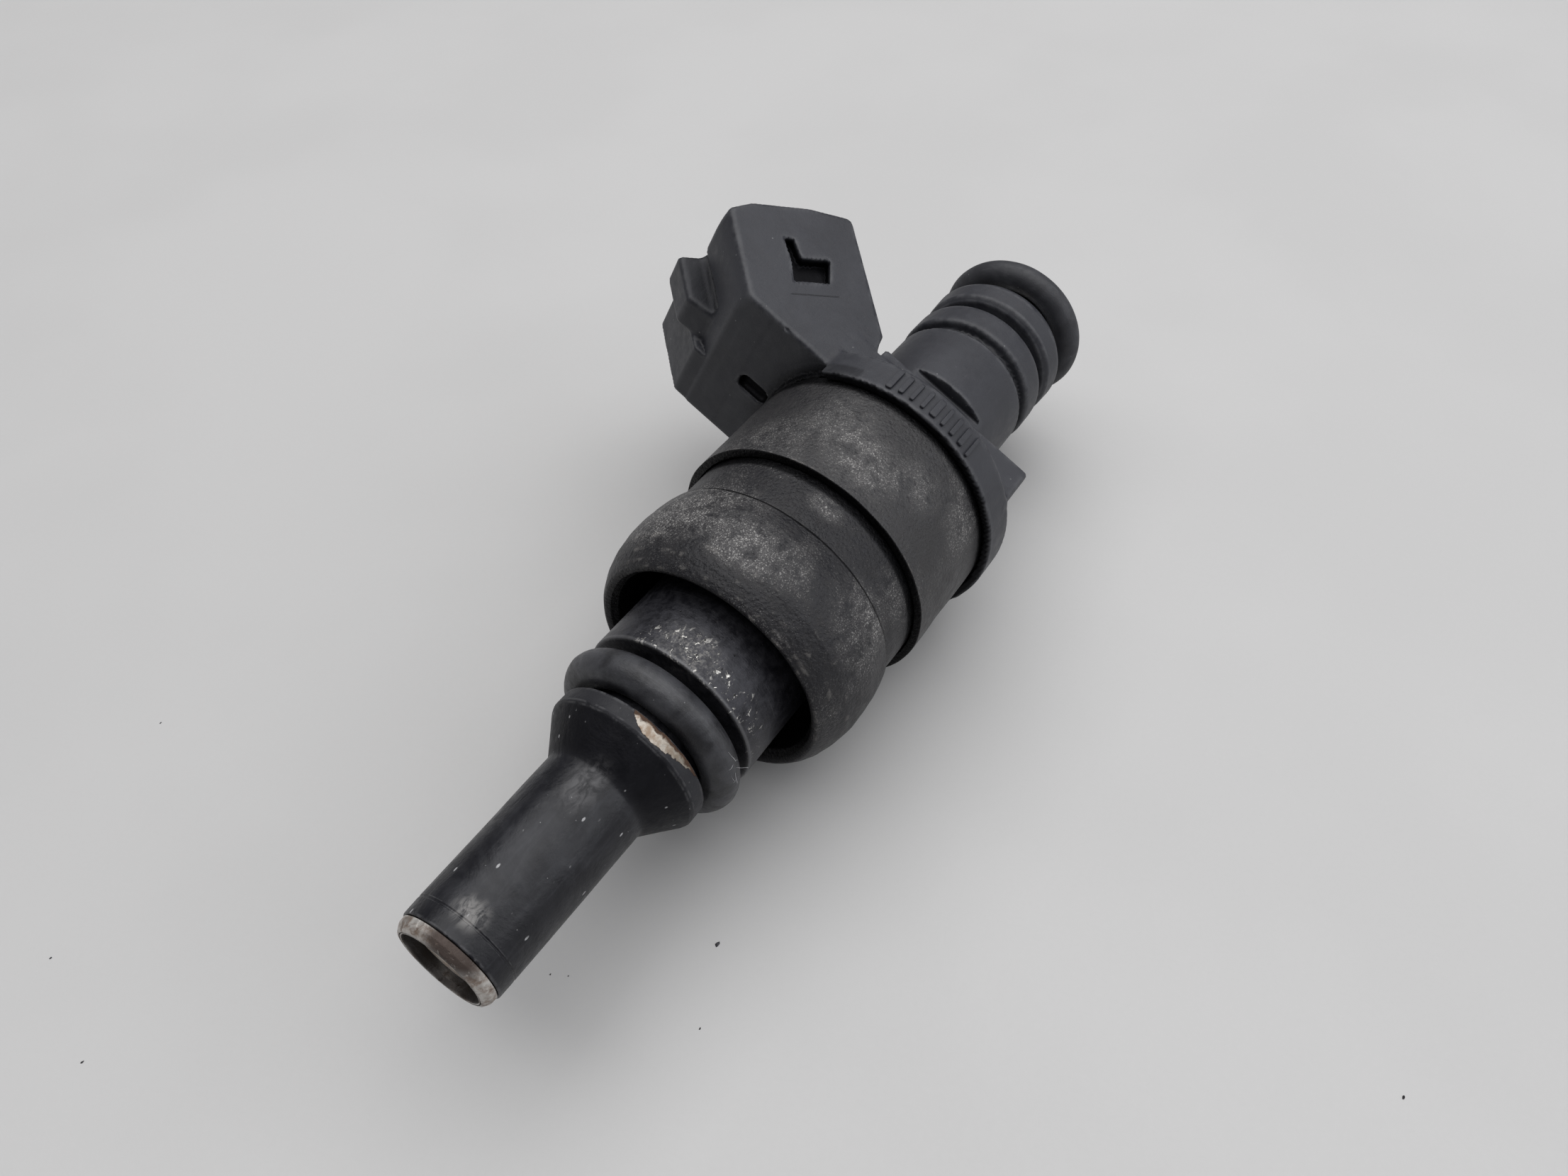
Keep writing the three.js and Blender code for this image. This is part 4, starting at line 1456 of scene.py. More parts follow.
@dataclass
class MouldedBars(Grown):
    """Row of plain raised bars on the collar's side, of uneven width.

    Attributes:
        name: The piece's name.
        x: Middle of the row along the injector, in mm.
        radius: Radius of the surface that they stand on.
        first_deg: Angle of the first bar from the connector's side.
        last_deg: Angle of the last bar.
        count: Number of bars.
        length: Length of a bar.
        width: Mean width of a bar.
        height: Full thickness of a bar, half of it sunk in the surface.
        seed: Number that fixes their widths.
    """

    name: str = "collar_bars"
    x: float = 13.35
    radius: float = 11.5
    first_deg: float = 71.0
    last_deg: float = 109.0
    count: int = 9
    length: float = 2.25
    width: float = 0.50
    height: float = 0.46
    seed: int = 7

    def mesh(self, material: Material) -> Mesh:
        """Sets the bars round the collar.

        Args:
            material: Finish of the bars.

        Returns:
            Mesh of all the bars, in mm.
        """
        g = ShapeBench(self.name)
        count, seed = g.size("Count", self.count), g.size("Seed", self.seed)
        radius, place = g.size("Radius", self.radius), g.size("Place", self.x)
        first = g.size("First Angle", math.radians(self.first_deg))
        last = g.size("Last Angle", math.radians(self.last_deg))
        length, width = g.size("Bar Length", self.length), g.size("Bar Width", self.width)
        height = g.size("Bar Height", self.height)
        share = g.calc("DIVIDE", g.out("GeometryNodeInputIndex"), g.minus(count, 1.0))
        angle = g.plus(first, g.times(share, g.minus(last, first)))
        row = g.out("GeometryNodeSetPosition", {
            "Geometry": g.out("GeometryNodeMeshLine", {"Count": count}),
            "Position": g.on_round(place, radius, angle)})
        cube = g.out("GeometryNodeMeshCube", {"Vertices X": 4, "Vertices Y": 3, "Vertices Z": 3})
        soft = g.out("GeometryNodeSubdivisionSurface", {"Mesh": cube, "Level": 2,
                                                        "Edge Crease": 0.35})
        ends = g.plus(g.calc("LESS_THAN", share, 0.02), g.calc("GREATER_THAN", share, 0.98))
        scale = g.point(X=g.times(length, g.plus(0.86, g.times(ends, 0.14))),
                        Y=g.times(width, g.chance(0.62, 1.15, seed)), Z=height)
        turn = g.point(X=g.minus(angle, math.pi / 2))
        return g.harvest(g.copies(row, soft, Rotation=turn, Scale=scale), material)


@dataclass
class Lint(Grown):
    """Curly pale fibres caught on a seal.

    Attributes:
        name: The piece's name.
        x: Middle of the place along the injector, in mm.
        radius: Radius at which they lie.
        spread: Spread along the injector.
        first_deg: First angle from the connector's side.
        last_deg: Last angle.
        count: Number of fibres.
        length: Mean length of a fibre.
        thick: Radius of a fibre.
        seed: Number that fixes how they lie.
    """

    name: str = "seal_lint"
    x: float = -15.6
    radius: float = 7.17
    spread: float = 0.45
    first_deg: float = 118.0
    last_deg: float = 152.0
    count: int = 6
    length: float = 1.15
    thick: float = 0.011
    seed: int = 11

    def mesh(self, material: Material) -> Mesh:
        """Scatters the fibres.

        Args:
            material: Finish of the fibres.

        Returns:
            Mesh of all the fibres, in mm.
        """
        g = ShapeBench(self.name)
        count, seed = g.size("Count", self.count), g.size("Seed", self.seed)
        radius, place = g.size("Radius", self.radius), g.size("Place", self.x)
        length, thick = g.size("Fibre Length", self.length), g.size("Fibre Radius", self.thick)
        half = g.times(length, 0.5)
        line = g.out("GeometryNodeCurvePrimitiveLine", {
            "Start": g.point(X=g.times(half, -1.0)), "End": g.point(X=half)})
        cut = g.out("GeometryNodeResampleCurve", {"Curve": line, "Count": 14})
        along = g.out("ShaderNodeSeparateXYZ", {0: g.out("GeometryNodeInputPosition")})
        wave, curl = (g.calc("SINE", g.times(along, speed)) for speed in (4.4, 7.9))
        wavy = g.out("GeometryNodeSetPosition", {
            "Geometry": cut, "Offset": g.point(Y=g.times(wave, 0.17), Z=g.times(curl, 0.035))})
        fibre = g.tube(wavy, g.circle(thick, 4))
        limits = ((math.radians(self.first_deg), math.radians(self.last_deg)),
                  (-self.spread, self.spread), (0.0, math.pi), (0.35, 1.2))
        angle, shift, twist, stretch = (
            g.chance(low, high, g.plus(seed, float(number * 17)))
            for number, (low, high) in enumerate(limits))
        row = g.out("GeometryNodeSetPosition", {
            "Geometry": g.out("GeometryNodeMeshLine", {"Count": count}),
            "Position": g.on_round(g.plus(place, shift), radius, angle)})
        turn = g.point(X=g.minus(angle, math.pi / 2), Z=twist)
        return g.harvest(g.copies(row, fibre, Rotation=turn, Scale=stretch), material)


# ---- sub-assemblies


@dataclass(frozen=True)
class Finishes:
    """Every material of the injector, laid out once."""

    moulding: Material
    nozzle: Material
    shell: Material
    can: Material
    gunmetal: Material
    tip: Material
    plate: Material
    rubber: Material
    dry_rubber: Material
    steel: Material
    brass: Material
    copper: Material
    nylon: Material
    lint: Material
    board: Material

    @classmethod
    def lay_out(cls) -> "Finishes":
        """Lays out all the finishes.

        Returns:
            The set of materials.
        """
        # The shell's and the can's patches are wear with painted highlight; most of their black
        # bands are painted shade.
        shell = CoatedSteel("coated_shell", (
            WearHighlightPatch((-5.2, 3.6, 10.0), (1.6, 4.0, 2.4), 0.90),
            WearHighlightPatch((-5.0, 8.7, 6.1), (1.8, 3.2, 3.2), 0.90),
            WearHighlightPatch((-5.6, 9.5, 4.3), (1.7, 2.5, 3.0), 0.90),
            WearHighlightPatch((-2.2, 8.0, 6.7), (1.4, 4.0, 4.0), 0.70),
            WearHighlightPatch((-6.5, 3.6, 9.6), (0.9, 1.8, 1.2), 0.60),
            WearHighlightPatch((-4.0, -6.8, 8.1), (2.2, 3.2, 3.0), 0.55),
            WearHighlightPatch((-1.9, -6.0, 8.5), (1.2, 2.5, 2.2), 0.65),
            WearHighlightPatch((1.2, 1.2, 9.8), (0.8, 1.1, 0.8), 0.90),
            WearHighlightPatch((1.0, -6.5, 7.5), (1.2, 2.0, 2.0), 0.50)),
            coat=(0.0085, 0.0084, 0.0108), brown=(0.0205, 0.0196, 0.0205),
            joints=((-1.62, -1.30, 0.06), (2.15, 4.0, 0.35)), inside=9.05, sheen=0.32)
        can = CoatedSteel("coated_can", (
            WearHighlightPatch((5.8, 1.3, 10.6), (2.0, 2.4, 2.2), 0.85),
            WearHighlightPatch((7.8, 4.6, 9.6), (2.2, 2.2, 2.2), 0.60),
            WearHighlightPatch((7.6, -2.6, 10.2), (1.6, 1.6, 1.8), 0.60),
            WearHighlightPatch((9.6, -7.0, 8.2), (1.8, 2.0, 2.2), 0.60),
            WearHighlightPatch((4.6, 7.6, 7.4), (1.8, 2.2, 2.4), 0.40)), coat=(0.018, 0.0175, 0.0195),
            joints=((1.0, 2.70, 0.06), (11.75, 14.0, 0.6)))
        steel = MachinedMetal("bright_steel", (0.52, 0.53, 0.55), (0.34, 0.32, 0.29))
        brass = MachinedMetal("terminal_brass", (0.60, 0.46, 0.24), (0.34, 0.23, 0.12), 0.95, 0.28)
        copper = MachinedMetal("enamelled_copper", (0.50, 0.20, 0.085), (0.30, 0.10, 0.04), 0.8,
                               0.25)
        return cls(SatinMoulding().material(), NozzlePlastic().material(), shell.material(),
                   can.material(), Gunmetal().material(),
                   ScorchedMetal("scorched_ring", crusted=0.55).material(),
                   ScorchedMetal("scorched_plate", (0.52, 0.44, 0.36), (0.31, 0.225, 0.175),
                                 crusted=0.3, metal=0.10).material(),
                   SealRubber().material(),
                   SealRubber("dry_rubber", (0.0190, 0.0195, 0.0235), (0.036, 0.037, 0.043),
                              0.10).material(), steel.material(), brass.material(),
                   copper.material(), MouldedNylon().material(), LintFibre().material(),
                   PaleBoard().material())


@dataclass
class Nozzle:
    """Plastic nozzle tube, its metal tip and the spray plate.

    Attributes:
        low: Lower end of the plastic tube, in mm.
        high: Upper end of its skirt.
        bore: Radius of the tube's bore.
        tip_r: Radius of the tube at its lower end.
        root_r: Radius of the tube under the cone.
        skirt_r: Radius of the skirt.
        ring_low: Lower end of the metal ring.
    """

    finishes: Finishes
    low: float = -34.68
    high: float = -17.57
    bore: float = 3.45
    tip_r: float = 3.81
    root_r: float = 3.90
    skirt_r: float = 5.96
    ring_low: float = -35.62

    def build_tube(self) -> None:
        """Builds the tube, with its fine step above the tip, its cone and its skirt."""
        Turned("nozzle_tube", (
            (self.low, self.bore, 0.03), (self.low, self.tip_r - 0.03, 0.10),
            (self.low + 1.20, self.tip_r, 0.02), (self.low + 1.24, self.tip_r - 0.045, 0.02),
            (self.low + 1.32, self.tip_r - 0.045, 0.02),
            (self.low + 1.40, self.tip_r + 0.005, 0.04), (-21.6, self.root_r, 0.5),
            (-18.92, self.skirt_r - 0.10, 0.20), (-18.72, self.skirt_r, 0.10),
            (self.high, self.skirt_r, 0.14), (self.high, self.bore, 0.03)),
            step=0.5, dent=0.035, dent_size=3.5, seed=3,
        ).build(self.finishes.nozzle, Slot.NOSE_PLASTIC, "nose_tube")

    def build_ring(self) -> None:
        """Builds the rounded metal ring at the tip."""
        Turned("spray_tip_ring", (
            (self.ring_low + 0.42, 2.98, 0.1), (self.ring_low, 3.04, 0.04),
            (self.ring_low, 3.34, 0.25), (self.ring_low + 0.45, 3.64, 0.25),
            (self.low - 0.06, 3.68, 0.03), (self.low - 0.06, 3.35, 0.02), (-34.44, 3.35, 0.02),
            (-34.44, 2.98, 0.02)), step=0.25, dent=0.045, dent_size=1.6, seed=5,
        ).build(self.finishes.tip, Slot.WORN_STEEL, "tip_ring")

    def build_plate(self) -> None:
        """Builds the recessed spray plate, with its raised ring and dimple."""
        Turned("spray_plate", (
            (-34.50, 0.0), (-34.54, 0.62, 0.05), (-34.66, 0.80, 0.05), (-34.66, 1.55, 0.04),
            (-34.56, 1.66, 0.04), (-34.56, 2.25, 0.04), (-34.72, 2.36, 0.04), (-34.76, 2.62, 0.04),
            (-34.76, 2.90, 0.03), (-33.96, 2.90, 0.03), (-33.96, 0.0)), sides=96,
        ).build(self.finishes.plate, Slot.WORN_STEEL, "orifice_plate")

    def build(self) -> None:
        """Builds the whole nozzle."""
        self.build_tube()
        self.build_ring()
        self.build_plate()


@dataclass
class Seals:
    """The two rubber rings, the back-up ring and the lint on the lower one.

    Attributes:
        lower_x: Middle of the lower ring along the injector, in mm.
        lower_r: Outer radius of the lower ring.
        lower_section: Radius of its section.
        upper_x: Middle of the upper ring.
        upper_r: Outer radius of the upper ring.
        upper_section: Radius of its section.
    """

    finishes: Finishes
    lower_x: float = -15.62
    lower_r: float = 7.20
    lower_section: float = 1.35
    upper_x: float = 38.5
    upper_r: float = 6.72
    upper_section: float = 1.23

    def ring(self, name: str, x: float, r: float, section: float, node: str, seed: int,
             material: Material) -> None:
        """Builds one ring of slightly squeezed round section, with its moulding flash.

        Args:
            name: The piece's name.
            x: Its middle along the injector, in mm.
            r: Its outer radius.
            section: Radius of its section.
            node: CAD node that it stands for.
            seed: Number that fixes its unevenness.
            material: Finish of the rubber.
        """
        profile = []
        for i in range(40):
            a = 2 * math.pi * i / 40
            flash = 0.02 * math.exp(-((math.cos(a) - 1) / 0.01) ** 2)
            profile.append((x + section * math.sin(a),
                            r - 0.025 - section + section * math.cos(a) + flash, 0))
        Turned(name, profile, sides=144, dent=0.03, dent_size=4.0, seed=seed,
               ).build(material, Slot.RUBBER, node)

    def build(self) -> None:
        """Builds the rings and the lint."""
        self.ring("lower_seal", self.lower_x, self.lower_r, self.lower_section, "lower_o_ring", 8,
                  self.finishes.rubber)
        self.ring("upper_seal", self.upper_x, self.upper_r, self.upper_section, "upper_o_ring", 9,
                  self.finishes.dry_rubber)
        Turned("backup_collar", (
            (32.70, 4.30, 0.03), (32.70, 5.92, 0.30), (33.1, 6.34, 0.40), (34.9, 6.42, 0.60),
            (35.75, 5.95, 0.45), (35.75, 4.30, 0.03)),
            step=0.5, dent=0.02, dent_size=5, seed=12,
        ).build(self.finishes.moulding, Slot.BLACK_PLASTIC, "backup_ring")
        Lint().build(self.finishes.lint, Slot.RUBBER)


@dataclass
class MagnetCase:
    """Valve body, hollow shell, band and coil can.

    Attributes:
        body_r: Radius of the valve body, in mm.
        shell_r: Largest radius of the shell.
        band_r: Radius of the band above its seam.
        can_r: Radius of the can.
        can_low: Lower edge of the can.
        can_high: Upper edge of the can.
    """

    finishes: Finishes
    body_r: float = 6.78
    shell_r: float = 10.66
    band_r: float = 9.96
    can_r: float = 10.70
    can_low: float = 2.66
    can_high: float = 12.45

    def build_valve_body(self) -> None:
        """Builds the valve body with its long barrel and the groove of the lower seal."""
        Turned("valve_body_shell", (
            (-34.36, 3.00, 0.02), (-34.36, 3.33, 0.03), (-17.45, 3.36, 0.02), (-17.45, 4.45, 0.05),
            (-13.60, 4.45, 0.10), (-13.60, self.body_r, 0.16), (3.40, self.body_r, 0.10),
            (3.40, 4.72, 0.05), (-4.60, 4.72, 0.05), (-4.60, 2.20, 0.05), (-31.5, 2.20, 0.05),
            (-31.5, 3.00, 0.02)), step=0.8, dent=0.02, dent_size=4.0, seed=21,
        ).build(self.finishes.gunmetal, Slot.GUNMETAL, "valve_body")

    def build_shell(self) -> None:
        """Builds the rounded hollow shell with its thin rolled lip."""
        Turned("rounded_shell", (
            (-1.48, 6.90, 0.05), (-1.48, 10.28, 0.04), (-2.2, 10.43, 0.6), (-3.2, 10.60, 1.0),
            (-4.3, self.shell_r, 1.0), (-5.6, self.shell_r - 0.05, 1.2), (-7.0, 10.40, 1.2),
            (-8.1, 10.02, 1.0), (-8.85, 9.62, 0.5), (-9.18, 9.34, 0.2), (-9.21, 9.17, 0.04),
            (-9.05, 8.80, 0.05), (-8.55, 8.42, 0.3), (-7.0, 8.35, 0.8), (-3.1, 8.35, 0.5),
            (-3.1, 6.90, 0.05)),
            sides=160, step=0.35, dent=0.09, dent_size=3.2, seed=31,
        ).build(self.finishes.shell, Slot.COATED_STEEL, "lower_shell")

    def build_band(self) -> None:
        """Builds the narrow band above the shell's seam."""
        Turned("seam_band", (
            (-1.40, 6.90, 0.05), (-1.40, self.band_r, 0.10), (3.25, self.band_r, 0.06),
            (3.25, 6.90, 0.05)),
            sides=160, step=0.4, dent=0.07, dent_size=2.8, seed=41,
        ).build(self.finishes.shell, Slot.COATED_STEEL, "yoke_ring")

    def build_can(self) -> None:
        """Builds the coil can with its thin, slightly ragged lower edge."""
        inner = self.can_r - 0.62
        Turned("coil_can_sleeve", (
            (self.can_low, inner, 0.05), (self.can_low, self.can_r, 0.11),
            (self.can_high, self.can_r, 0.18), (self.can_high, inner, 0.05)),
            sides=160, step=0.4, dent=0.075, dent_size=3.0, seed=51,
        ).build(self.finishes.can, Slot.COATED_STEEL, "coil_can")

    def build(self) -> None:
        """Builds the whole case."""
        self.build_valve_body()
        self.build_shell()
        self.build_band()
        self.build_can()


@dataclass
class ConnectorMoulding:
    """One moulding: collar, clip block, neck with its grooves and the angled connector.

    Attributes:
        face: Size of one face of its skin, in mm.
        collar_r: Radius of the collar.
        half_width: Half the connector's width.
        soft: Rounding of its long edges.
        wall: Place of the nozzle-side wall across the socket.
        back: Place of the inlet-side wall across the socket.
        mouth: Length of the connector along the socket.
    """

    finishes: Finishes
    face: float = 0.27
    collar_r: float = 11.50
    half_width: float = 7.68
    soft: float = 0.34
    wall: float = -1.37
    back: float = 9.98
    mouth: float = 29.3
    outlines: Dict[str, List[Point2]] = field(default_factory=dict)

    @staticmethod
    def plane(c: float, q: float) -> Point2:
        """Point in the connector's plane: c out along the socket, q across it."""
        return (c * math.sin(TILT) + q * math.cos(TILT), c * math.cos(TILT) - q * math.sin(TILT))

    @staticmethod
    def softened(corners: Sequence[Tuple[Point2, float]]) -> List[Point2]:
        """Outline with each corner rounded by its own radius."""
        points, _ = rounded([Corner(x + 100, y + 100, r) for (x, y), r in corners], 5)
        return [(x - 100, y - 100) for x, y in points]

    def draw(self) -> None:
        """Draws the flat outlines that the solid is made of."""
        plane, q0, q1, mouth = self.plane, self.wall, self.back, self.mouth
        self.outlines["housing"] = self.softened([
            ((12.97, 3.0), 0), ((12.97, 16.95), 0.8), (plane(mouth - 0.1, q0), 0.9),
            (plane(mouth + 0.78, 1.2), 1.2), (plane(mouth + 0.78, 6.2), 1.2),
            (plane(mouth + 0.1, q1), 0.7), ((19.22, 6.98), 0.5), ((18.35, 6.75), 0.3),
            ((17.5, 6.42), 0.1), ((17.5, 3.0), 0)])
        self.outlines["step"] = self.softened([
            ((13.06, 14.5), 0), (plane(22.42, q0 - 0.75), 0.6), (plane(mouth - 0.05, q0 - 0.75),
                                                                 0.4),
            (plane(mouth - 0.05, 0.4), 0), ((14.2, 14.5), 0)])
        self.outlines["rib"] = self.softened([
            (plane(23.0, q0 + 0.5), 0), (plane(23.3, q0 - 0.1), 0.6),
            (plane(24.9, q0 - 1.9), 0.7), (plane(mouth - 0.05, q0 - 1.9), 0.35),
            (plane(mouth - 0.05, 0.4), 0)])
        self.outlines["block"] = self.softened([
            ((14.1, -8.75), 0), ((18.48, -8.75), 0.35), ((18.48, 6.12), 0.30),
            ((17.5, 6.12), 0.15), ((17.5, 8.75), 0.2), ((14.1, 8.75), 0)])
        self.outlines["collar"] = self.softened([
            ((11.86, -1.0), 0), ((11.86, self.collar_r), 0.16), ((14.9, self.collar_r), 0.30),
            ((14.9, -1.0), 0)])
        self.outlines["neck"] = self.softened([
            ((17.4, -1.0), 0), ((17.4, 6.38), 0), ((19.1, 6.37), 0.4), ((20.9, 6.25), 0.6),
            ((27.72, 6.22), 0.22), ((27.80, 5.5), 0.16), ((28.66, 5.5), 0.16),
            ((28.74, 6.38), 0.42), ((31.58, 6.36), 0.75), ((31.60, 4.9), 0.1), ((31.6, -1.0), 0)])
        self.outlines["window"] = self.softened([
            (plane(22.6, 3.2), 0.12), (plane(24.85, 3.5), 0.12), (plane(24.85, 6.85), 0.12),
            (plane(22.6, 6.3), 0.12)])
        self.outlines["slit"] = [plane(24.5, 3.45), plane(26.75, 3.25), plane(26.75, 4.1),
                                 plane(24.5, 4.4)]

    def solid(self, p: Array) -> Array:
        """Signed distance of the whole moulding.

        Args:
            p: Points in the injector's own frame, in mm.

        Returns:
            Distance of each point, below zero inside.
        """
        x, y, z = p[:, 0], p[:, 1], p[:, 2]
        rho = np.hypot(y, z)
        lines, width = self.outlines, self.half_width
        collar = polygon_field(x, rho, lines["collar"])
        block = thickened(polygon_field(x, y, lines["block"]), z, 7.60, 0.30)
        block = common(block, rho - self.collar_r + 0.02, 0.25)
        body = fuse(collar, block, 0.30)
        neck = polygon_field(x, rho, lines["neck"])
        flats = np.minimum(box_field(p, (18.5, -7.5, 5.2), (21.35, 7.5, 9.0)),
                           box_field(p, (18.5, -7.5, -9.0), (21.35, 7.5, -5.2)))
        neck = carve(neck, flats, 0.12)
        body = fuse(body, neck, 0.35)
        c = x * math.sin(TILT) + y * math.cos(TILT)
        q = x * math.cos(TILT) - y * math.sin(TILT)
        slanted = np.stack([c, q, z], 1)
        housing = thickened(polygon_field(x, y, lines["housing"]), z, width, self.soft)
        housing = common(housing, -0.961 * (q + 0.85) + 0.278 * (z - width), 0.35)
        body = fuse(body, housing, 0.25)
        step = thickened(polygon_field(x, y, lines["step"]), z + 4.59, 3.09, 0.22)
        rib = thickened(polygon_field(x, y, lines["rib"]), z, 1.75, 0.55)
        body = fuse(fuse(body, step, 0.06), rib, 0.35)
        channel = box_field(slanted, (23.5, -4.0, 1.80), (30.5, -0.75, 2.75), 0.4)
        body = carve(body, channel, 0.3)
        bay_half, bay_height, bay_turn = 4.375, 6.35, 1.4
        across = np.abs(q - bay_half) - bay_half + bay_turn
        upright = np.abs(z) - bay_height + bay_turn
        bay = np.minimum(np.maximum(across, upright), 0) + np.hypot(
            np.maximum(across, 0), np.maximum(upright, 0)) - bay_turn
        bay = np.maximum(bay, 21.0 - c)
        body = carve(body, bay, 0.42)
        for name in ("window", "slit"):
            pocket = np.maximum(polygon_field(x, y, lines[name]), (width - 0.98) - z)
            body = carve(body, pocket, 0.10)
        slot = box_field(p, (12.0, 11.0, -1.25), (13.75, 13.75, 0.35), 0.55)
        body = carve(body, slot, 0.10)
        notch = box_field(p, (12.4, 12.3, 7.35), (13.15, 12.7, 8.4), 0.1)
        body = carve(body, notch, 0.08)
        rim = np.maximum(box_field(p, (10.5, 7.6, -7.7), (12.97, 14.0, 7.7), 0.1), 10.75 - rho)
        body = carve(body, rim, 0.05)
        cup = np.maximum(np.maximum(8.0 - rho, rho - 10.78), x - 12.55)
        body = carve(body, cup, 0.05)
        hollow = np.minimum(np.maximum(rho - 9.9, x - 12.75), np.maximum(rho - 4.8, x - 13.1))
        hollow = np.minimum(hollow, rho - 4.32)
        return carve(body, hollow, 0.05)

    def painted_shade(self, p: Array) -> Array:
        """How much painted shade lies at each point: black in the pockets, slots and grooves, on
        the rib's shaded side, on the collar's front face, where the can meets the moulding and
        inside the collar.

        Args:
            p: Points in the injector's own frame, in mm.

        Returns:
            Values from 0 to 1.
        """
        x, y, z = p[:, 0], p[:, 1], p[:, 2]
        rho = np.hypot(y, z)
        c = x * math.sin(TILT) + y * math.cos(TILT)
        q = x * math.cos(TILT) - y * math.sin(TILT)
        sunk = np.clip((self.half_width - 0.12 - z) / 0.3, 0, 1) * (z > 6.2)
        pocket = np.minimum(polygon_field(x, y, self.outlines["window"]),
                            polygon_field(x, y, self.outlines["slit"]))
        values = sunk * (pocket < 0.35)
        side = np.clip((z - 1.25) / 0.5, 0, 1) * np.clip((3.1 - z) / 0.8, 0, 1)
        side = side * np.clip((c - 23.0) / 0.6, 0, 1) * (q < -0.1)
        values = np.maximum(values, 0.50 * side)
        slot = (x > 13.05) & (x < 14) & (y > 10.8) & (y < 14) & (z > -1.5) & (z < 0.6)
        values = np.maximum(values, 0.9 * slot)
        front = np.clip((12.25 - x) / 0.25, 0, 1) * np.clip((11.46 - rho) / 0.1, 0, 1)
        values = np.maximum(values, 0.9 * front)
        joint = np.clip(1 - (rho - 10.75) / 2.2, 0, 1) ** 2 * (y > 6)
        joint = joint * np.clip((13.03 - x) / 0.04, 0, 1)
        values = np.maximum(values, 0.85 * joint * (rho > 10.5))
        return np.maximum(values, 0.95 * ((rho < 10.7) & (x < 13.0)))

    def build(self) -> None:
        """Builds the moulding and the bars on its collar."""
        self.draw()
        skin = FieldSkin(self.solid, (10.9, -12.4, -12.4), (32.4, 24.0, 12.4), self.face)
        mesh = skin.mesh("connector_moulding")
        flat = np.empty(len(mesh.vertices) * 3, np.float32)
        mesh.vertices.foreach_get("co", flat)
        # Painted shade, stored on the mesh for its finish to paint black.
        add_values(mesh, "painted_shade", self.painted_shade(flat.reshape(-1, 3).astype(float)))
        fit_out("connector_moulding", mesh, self.finishes.moulding, Slot.BLACK_PLASTIC,
                "connector_overmould", crease_deg=0)
        MouldedBars().build(self.finishes.moulding, Slot.BLACK_PLASTIC)


@dataclass
class Terminals:
    """Two flat blades with chamfered tips, standing in the socket.

    Attributes:
        offset: Distance of each blade from the connector's middle plane, in mm.
        width: Width of a blade.
        thick: Thickness of a blade.
        tip: Place of the tips along the socket.
    """

    finishes: Finishes
    offset: float = 2.6
    width: float = 2.4
    thick: float = 0.8
    tip: float = 25.4

    def blade(self, name: str, side: int, node: str) -> None:
        """Builds one blade, bent from the coil up into the socket.

        Args:
            name: The piece's name.
            side: 1 or -1, which side of the middle plane.
            node: CAD node that it stands for.
        """
        plane = ConnectorMoulding.plane
        foot, bend = np.array((11.55, 8.1)), np.array(plane(17.6, 4.35))
        run = (bend - foot) / np.linalg.norm(bend - foot)
        side_way, across = np.array((run[1], -run[0])), np.array(plane(0, 1))
        half = self.thick / 2
        tip, along = np.array(plane(self.tip, 4.35)), np.array(plane(1, 0))
        line = [foot - side_way * half, bend - across * half, tip - across * half - along * 0.55,
                tip - across * half * 0.35, tip + across * half * 0.35,
                tip + across * half - along * 0.55, bend + across * half, foot + side_way * half]
        middle, z = side * self.offset, self.width / 2
        taper = [1, 1, 1, 0.72, 0.72, 1, 1, 1]
        points = [(x, y, middle + s * z * t) for s in (-1, 1) for (x, y), t in zip(line, taper)]
        n = len(line)
        faces = [(i, (i + 1) % n, (i + 1) % n + n, i + n) for i in range(n)]
        caps = [(i, i + 1, 6 - i, 7 - i) for i in range(3)]
        faces += [cap[::-1] for cap in caps] + [tuple(i + n for i in cap) for cap in caps]
        raw = linked(name + "_raw", raw_mesh(name, points, oriented(np.array(points), faces)))
        bevel = raw.modifiers.new("edges", "BEVEL")
        bevel.width, bevel.segments, bevel.limit_method = 0.09, 3, "ANGLE"
        bevel.angle_limit = math.radians(25)
        fit_out(name, taken(raw), self.finishes.brass, Slot.BRASS, node)

    def build(self) -> None:
        """Builds both blades."""
        self.blade("upper_blade", 1, "terminal_upper")
        self.blade("lower_blade", -1, "terminal_lower")


@dataclass
class InletEnd:
    """Steel inlet tube with its flange, and the filter inside it.

    Attributes:
        tube_r: Radius of the tube, in mm.
        bay_r: Radius of the filter's bay.
        flange_r: Radius of the end flange.
    """

    finishes: Finishes
    tube_r: float = 4.2
    bay_r: float = 3.4
    flange_r: float = 5.36

    def build(self) -> None:
        """Builds the tube, the filter collar and the gauze."""
        Turned("inlet_pipe", (
            (4.32, 1.95, 0.05), (4.32, 4.6, 0.1), (12.8, 4.6, 0.1), (12.8, self.tube_r, 0.05),
            (39.9, self.tube_r, 0.12), (39.9, self.flange_r, 0.15), (40.59, self.flange_r, 0.22),
            (40.59, self.bay_r, 0.28), (29.5, self.bay_r, 0.1), (29.5, 1.95, 0.05)), sides=112,
        ).build(self.finishes.steel, Slot.BRIGHT_STEEL, "inlet_tube")
        Turned("filter_cap_ring", (
            (34.6, 2.72, 0.05), (34.6, 3.33, 0.08), (36.1, 3.33, 0.12), (36.1, 2.72, 0.12)),
            sides=96,
        ).build(self.finishes.brass, Slot.BRASS, "filter_collar")
        Gauze().build(self.finishes.steel, Slot.BRIGHT_STEEL, "filter_mesh")


